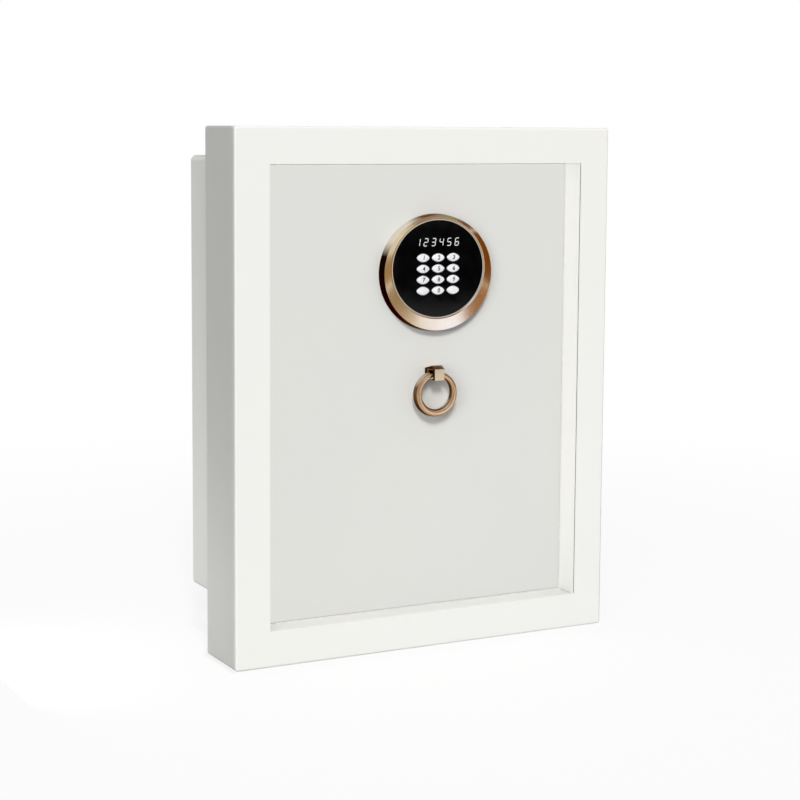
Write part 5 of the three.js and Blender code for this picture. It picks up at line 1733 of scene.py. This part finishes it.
@dataclass
class FloorMat:
    """The felt mat that lies on the body's floor."""

    thickness: float = 1.7 * MM
    swell: float = 0.25 * MM
    swell_waves: tuple[float, float] = (41, 67)
    swell_phases: tuple[float, float] = (1.3, 0.4)
    soft_edge: float = 2.5 * MM
    edge_fall: float = 0.5 * MM
    fray: float = 0.25 * MM
    fray_waves: tuple[float, float] = (310, 270)
    columns: int = 146
    rows: int = 60

    def build(self) -> None:
        low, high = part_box("floor_mat")
        size = high - low
        (long_wave, cross_wave), (long_phase, cross_phase) = self.swell_waves, self.swell_phases
        long_fray, cross_fray = self.fray_waves
        mesh = bmesh.new()
        bmesh.ops.create_grid(
            mesh,
            x_segments=self.columns,
            y_segments=self.rows,
            size=0.5,
            matrix=Matrix.Translation((0.5, 0.5, 0)),
        )
        for vert in mesh.verts:
            x, y = vert.co.x * size.x, vert.co.y * size.y
            edge = min(x, size.x - x, y, size.y - y)
            fall = max(0.0, 1 - edge / self.soft_edge) ** 2 * self.edge_fall
            swing = math.sin(x * long_wave + long_phase) * math.sin(y * cross_wave + cross_phase)
            wave = self.swell * (swing - 1) / 2
            shrink = self.fray * (1 + math.sin(x * long_fray) * math.cos(y * cross_fray)) / 2
            x = min(max(x, shrink), size.x - shrink)
            y = min(max(y, shrink), size.y - shrink)
            vert.co = Vector((low.x + x, low.y + y, high.z + wave - fall))
        for vert in grown(mesh, mesh.faces[:]):
            vert.co.z = max(low.z, vert.co.z - self.thickness)
        mat = finished(closed_up(mesh), "felt_mat", "surround", Slot.FELT, ["floor_mat"])


# Studio


@dataclass(frozen=True)
class Card:
    """A toned card round the keypad that only reflections see."""

    name: str
    azimuth: float
    elevation: float
    width: float
    height: float
    tone: Colour
    distance: float = 0.6


@dataclass
class Studio:
    """Floor, light, camera and the cards that the polished metal mirrors."""

    camera_at: Point3 = (-0.7861, -1.4966, 0.4332)
    yaw: float = 27.837
    pitch: float = -6.37
    roll: float = -0.382
    focal: float = 1923.15
    picture: float = 800.0
    axis_row: float = 340.0
    sensor: float = 36.0
    clip: tuple[float, float] = (0.05, 60.0)
    sky: float = 0.365
    key_from: Point3 = (-0.341, -0.766, 0.545)
    key_strength: float = 1.88
    key_softness: float = 14
    fill_from: Point3 = (-0.759, -0.637, 0.139)
    fill_strength: float = 1.05
    fill_softness: float = 30
    bounce_at: Point3 = (-0.36, 0.03, 0.0)
    bounce_towards: Point3 = (-1.0, 0.0, -0.1)
    bounce_size: float = 0.2
    bounce_strength: float = 0.2
    jamb_from: Point3 = (-1.0, -0.25, 0.1)
    jamb_strength: float = 0.28
    floor_size: float = 12.0
    floor_drop: float = 0.2 * MM
    floor_tone: float = 0.4
    floor_shows: float = 0.25
    floor_glow: float = 0.78
    fade_from: float = 0.45
    fade_to: float = 1.2
    veil: float = 0.14
    veil_gap: float = 3.0 * MM
    veil_over: float = 0.1
    body_veil: float = 0.62
    body_veil_from: float = 6.0 * MM
    in_opening: tuple[str, ...] = (
        "strike_jamb",
        "jamb_cap",
        "gap_seal_side",
        "gap_seal_bottom",
        "gap_seal_bottom_end",
        "bush_bottom",
    )

    def white_where_seen(self, tree: bpy.types.NodeTree) -> bpy.types.NodeSocket:
        """Returns 1 for camera, mirror and glass rays, and 0 for the rays that light things."""
        path = tree.nodes.new("ShaderNodeLightPath")
        seen = path.outputs["Is Camera Ray"]
        for name in ("Is Glossy Ray", "Is Transmission Ray"):
            both = tree.nodes.new("ShaderNodeMath")
            both.operation = "MAXIMUM"
            wire(tree, (seen, both.inputs[0]), (path.outputs[name], both.inputs[1]))
            seen = both.outputs[0]
        return seen

    def world(self) -> None:
        """Sets an even pale sky, which the camera and the mirrors see as white."""
        world = bpy.data.worlds.new("pale_sky")
        bpy.context.scene.world = world
        world.use_nodes = True
        tree = world.node_tree
        tree.nodes.clear()
        output = tree.nodes.new("ShaderNodeOutputWorld")
        mix = tree.nodes.new("ShaderNodeMixShader")
        lighting, white = (tree.nodes.new("ShaderNodeBackground") for _ in range(2))
        lighting.inputs["Strength"].default_value = self.sky
        lighting.inputs["Color"].default_value = (1.0, 1.0, 1.0, 1.0)
        white.inputs["Color"].default_value = (1.0, 1.0, 1.0, 1.0)
        wire(
            tree,
            (self.white_where_seen(tree), mix.inputs[0]),
            (lighting.outputs[0], mix.inputs[1]),
            (white.outputs[0], mix.inputs[2]),
            (mix.outputs[0], output.inputs["Surface"]),
        )
        world.cycles.sampling_method = "NONE"

    def distance(self, tree: bpy.types.NodeTree) -> bpy.types.NodeSocket:
        """Returns 0 near the safe and 1 where the floor has run into the white distance."""
        places = tree.nodes.new("ShaderNodeTexCoord")
        length = tree.nodes.new("ShaderNodeVectorMath")
        length.operation = "LENGTH"
        reach = tree.nodes.new("ShaderNodeMapRange")
        reach.inputs["From Min"].default_value = self.fade_from
        reach.inputs["From Max"].default_value = self.fade_to
        wire(
            tree,
            (places.outputs["Object"], length.inputs[0]),
            (length.outputs["Value"], reach.inputs["Value"]),
        )
        return reach.outputs["Result"]

    def floor(self) -> None:
        """Lays a pale floor that is white where it is lit and keeps the safe's shadow."""
        low = CAD_BOX[0]
        mesh = bmesh.new()
        bmesh.ops.create_grid(
            mesh,
            x_segments=8,
            y_segments=8,
            size=self.floor_size,
            matrix=Matrix.Translation((0, 0, low.z - self.floor_drop)),
        )
        floor = as_object(mesh, "floor")
        material, output = bare_material("Pale floor")
        tree = material.node_tree
        lit, shown = (tree.nodes.new("ShaderNodeBsdfDiffuse") for _ in range(2))
        lit.inputs["Color"].default_value = (self.floor_tone,) * 3 + (1.0,)
        shown.inputs["Color"].default_value = (self.floor_shows,) * 3 + (1.0,)
        glow, far = (tree.nodes.new("ShaderNodeEmission") for _ in range(2))
        glow.inputs["Strength"].default_value = self.floor_glow
        near = tree.nodes.new("ShaderNodeAddShader")
        fade, mix = (tree.nodes.new("ShaderNodeMixShader") for _ in range(2))
        wire(
            tree,
            (shown.outputs[0], near.inputs[0]),
            (glow.outputs[0], near.inputs[1]),
            (self.distance(tree), fade.inputs[0]),
            (near.outputs[0], fade.inputs[1]),
            (far.outputs[0], fade.inputs[2]),
            (self.white_where_seen(tree), mix.inputs[0]),
            (lit.outputs[0], mix.inputs[1]),
            (fade.outputs[0], mix.inputs[2]),
            (mix.outputs[0], output.inputs["Surface"]),
        )
        floor.data.materials.append(material)

    def lamp(
        self, name: str, kind: str, towards: Point3, strength: float
    ) -> bpy.types.Object:
        """Adds a lamp that mirrors don't show.

        Args:
            name: The lamp's name.
            kind: SUN or AREA.
            towards: The way from the safe to the lamp.
            strength: The lamp's strength.

        Returns:
            The lamp's object.
        """
        lamp = bpy.data.lights.new(name, kind)
        lamp.energy = strength
        placed = bpy.data.objects.new(name, lamp)
        placed.rotation_mode = "QUATERNION"
        placed.rotation_quaternion = Vector(towards).to_track_quat("Z", "Y")
        placed.visible_glossy = False
        bpy.context.scene.collection.objects.link(placed)
        return placed

    def soft_sun(
        self, name: str, towards: Point3, strength: float, softness: float
    ) -> bpy.types.Object:
        """Adds a soft, even lamp.

        Args:
            name: The lamp's name.
            towards: The way from the safe to the lamp.
            strength: The lamp's strength.
            softness: The angle that it spans, in degrees.

        Returns:
            The lamp's object.
        """
        placed = self.lamp(name, "SUN", towards, strength)
        placed.data.angle = math.radians(softness)
        return placed

    def linked(
        self, name: str, pieces: Iterable[bpy.types.Object], state: str
    ) -> bpy.types.Collection:
        """Returns a group of pieces that a lamp is kept to, or off.

        Args:
            name: The group's name.
            pieces: The pieces.
            state: INCLUDE or EXCLUDE.

        Returns:
            The group.
        """
        group = bpy.data.collections.new(name)
        for piece in pieces:
            group.objects.link(piece)
        for entry in group.collection_objects:
            entry.light_linking.link_state = state
        return group

    def lamps(self) -> None:
        """Sets key and fill twice, and a weak lamp of its own for the jamb.

        The pair for the door shines past the frame's edge, and frame and jamb throw no light
        back, because the photograph lights the door evenly up to its edges.
        """
        front = [o for o in bpy.data.objects if o.get("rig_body", "surround") != "surround"]
        front += [bpy.data.objects[name] for name in self.in_opening]
        rim, jamb = frame["nodes"]["surround_frame"], frame["nodes"]["strike_jamb"]
        rim.visible_diffuse = jamb.visible_diffuse = False
        for name, towards, strength, softness in (
            ("key", self.key_from, self.key_strength, self.key_softness),
            ("fill", self.fill_from, self.fill_strength, self.fill_softness),
        ):
            lamp = self.soft_sun(name, towards, strength, softness)
            lamp.light_linking.receiver_collection = self.linked(name + "_off", front, "EXCLUDE")
            lamp = self.soft_sun(name + "_on_door", towards, strength, softness)
            lamp.light_linking.receiver_collection = self.linked(name + "_on", front, "INCLUDE")
            lamp.light_linking.blocker_collection = self.linked(name + "_past", [rim], "EXCLUDE")
        lamp = self.soft_sun("on_jamb", self.jamb_from, self.jamb_strength, self.fill_softness)
        lamp.light_linking.receiver_collection = self.linked("on_jamb", [jamb], "INCLUDE")
        lamp.light_linking.blocker_collection = self.linked("on_jamb_past", [rim], "EXCLUDE")

    def sheet(self, name: str, corners: Iterable[Vector], tone: Colour) -> bpy.types.Object:
        """Adds a flat staged sheet that glows in one tone.

        Args:
            name: The sheet's name.
            corners: Its four corners in order.
            tone: The tone that it shows.

        Returns:
            The sheet's object.
        """
        mesh = bmesh.new()
        mesh.faces.new([mesh.verts.new(corner) for corner in corners])
        sheet = as_object(mesh, name)
        material, output = bare_material(name + "_tone")
        glow = material.node_tree.nodes.new("ShaderNodeEmission")
        glow.inputs["Color"].default_value = (*tone, 1.0)
        wire(material.node_tree, (glow.outputs[0], output.inputs["Surface"]))
        sheet.data.materials.append(material)
        for ray in ("camera", "diffuse", "transmission", "volume_scatter"):
            setattr(sheet, "visible_" + ray, False)
        return sheet

    def cards(self, cards: Iterable[Card]) -> None:
        """Stands the toned cards round the keypad."""
        target = middle_of("keypad_lens")
        for card in cards:
            turn, rise = math.radians(card.azimuth), math.radians(card.elevation)
            way = Vector(
                (math.sin(turn) * math.cos(rise), -math.cos(turn) * math.cos(rise), math.sin(rise))
            )
            aside = Vector((math.cos(turn), math.sin(turn), 0))
            above = aside.cross(way).normalized()
            middle = target + way * card.distance
            half_w = aside * (card.width / 2)
            half_h = above * (card.height / 2)
            corners = [
                middle - half_w - half_h,
                middle + half_w - half_h,
                middle + half_w + half_h,
                middle - half_w + half_h,
            ]
            sheet = self.sheet(card.name, corners, card.tone)
            sheet.visible_shadow = False

    def veils(self) -> None:
        """Hangs veils beside the left walls of frame and body, which hold the lamps off them."""
        frame_low, frame_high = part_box("surround_frame")
        body_low, body_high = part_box("body_shell")
        ahead = frame_low.y - self.veil_gap
        for name, front, back, low, high, passes in (
            ("frame_veil", ahead, 0.0, frame_low, frame_high, self.veil),
            ("body_veil", self.body_veil_from, body_high.y, body_low, body_high, self.body_veil),
        ):
            x, foot, head = low.x - self.veil_gap, low.z - self.veil_over, high.z + self.veil_over
            corners = ((front, foot), (back, foot), (back, head), (front, head))
            veil = self.sheet(name, [Vector((x, y, z)) for y, z in corners], (0.0, 0.0, 0.0))
            veil.visible_glossy = False
            tree = veil.data.materials[0].node_tree
            through = tree.nodes.new("ShaderNodeBsdfTransparent")
            through.inputs["Color"].default_value = (passes,) * 3 + (1.0,)
            wire(tree, (through.outputs[0], tree.nodes["Material Output"].inputs["Surface"]))

    def bounce(self) -> None:
        """Adds the light that a white floor throws back on the lower left side."""
        placed = self.lamp("bounce", "AREA", self.bounce_towards, self.bounce_strength)
        placed.data.size = self.bounce_size
        placed.location = self.bounce_at
        placed.visible_camera = False

    def camera(self) -> None:
        """Places the camera where the photograph was taken from."""
        yaw, pitch = math.radians(self.yaw), math.radians(self.pitch)
        ahead = Vector(
            (math.sin(yaw) * math.cos(pitch), math.cos(yaw) * math.cos(pitch), math.sin(pitch))
        )
        right = Vector((math.cos(yaw), -math.sin(yaw), 0))
        up = right.cross(ahead)
        tilt = Matrix.Rotation(math.radians(self.roll), 3, ahead)
        right, up = tilt @ right, tilt @ up
        camera = bpy.data.cameras.new("camera")
        camera.sensor_width = self.sensor
        camera.lens = self.sensor * self.focal / self.picture
        camera.shift_y = (self.axis_row - self.picture / 2) / self.picture
        camera.clip_start, camera.clip_end = self.clip
        placed = bpy.data.objects.new("camera", camera)
        bpy.context.scene.collection.objects.link(placed)
        turn = Matrix((right, up, -ahead)).transposed()
        placed.matrix_world = Matrix.Translation(self.camera_at) @ turn.to_4x4()
        bpy.context.scene.camera = placed

    def build(self) -> None:
        """Sets the whole studio."""
        bpy.context.scene.view_settings.view_transform = "Standard"
        self.camera()
        self.world()
        self.floor()
        self.lamps()
        self.bounce()
        self.veils()
        self.cards(
            [
                Card("card_lens", 29, -2.6, 0.3, 0.13, (0.0, 0.0, 0.0), 0.62),
                Card("card_lens_low", 29, -10.4, 0.3, 0.045, (0.4, 0.4, 0.4), 0.62),
                Card("card_left", -18, 2, 0.34, 0.34, (0.46, 0.32, 0.165)),
                Card("card_up_left", -19, 42, 0.26, 0.2, (1.25, 1.5, 2.2)),
                Card("card_low_left", 2, -22, 0.3, 0.2, (0.43, 0.33, 0.22)),
                Card("card_low", 33, -27, 0.26, 0.16, (1.45, 1.75, 2.7)),
                Card("card_low_right", 58, -22, 0.2, 0.2, (0.42, 0.21, 0.08)),
                Card("card_right", 70, 6, 0.42, 0.36, (0.24, 0.075, 0.0)),
                Card("card_top", 86, 56, 0.9, 0.7, (0.22, 0.1, 0.09)),
            ]
        )


def main() -> None:
    """Builds the sub-assemblies, dresses what the CAD gives, and sets the studio."""
    logging.basicConfig(level=logging.INFO, format="%(name)s: %(message)s")
    Keypad().build()
    RingPull().build()
    Hinges().build()
    SeamShadowStripAndCap().build()
    GapSeal().build()
    Buffers().build()
    LockWork().build()
    Cells().build()
    ResetButton().build()
    CrossScrews().build()
    FloorMat().build()
    CarriedOver().dress()
    Studio().build()


if __name__ == "__main__":
    main()
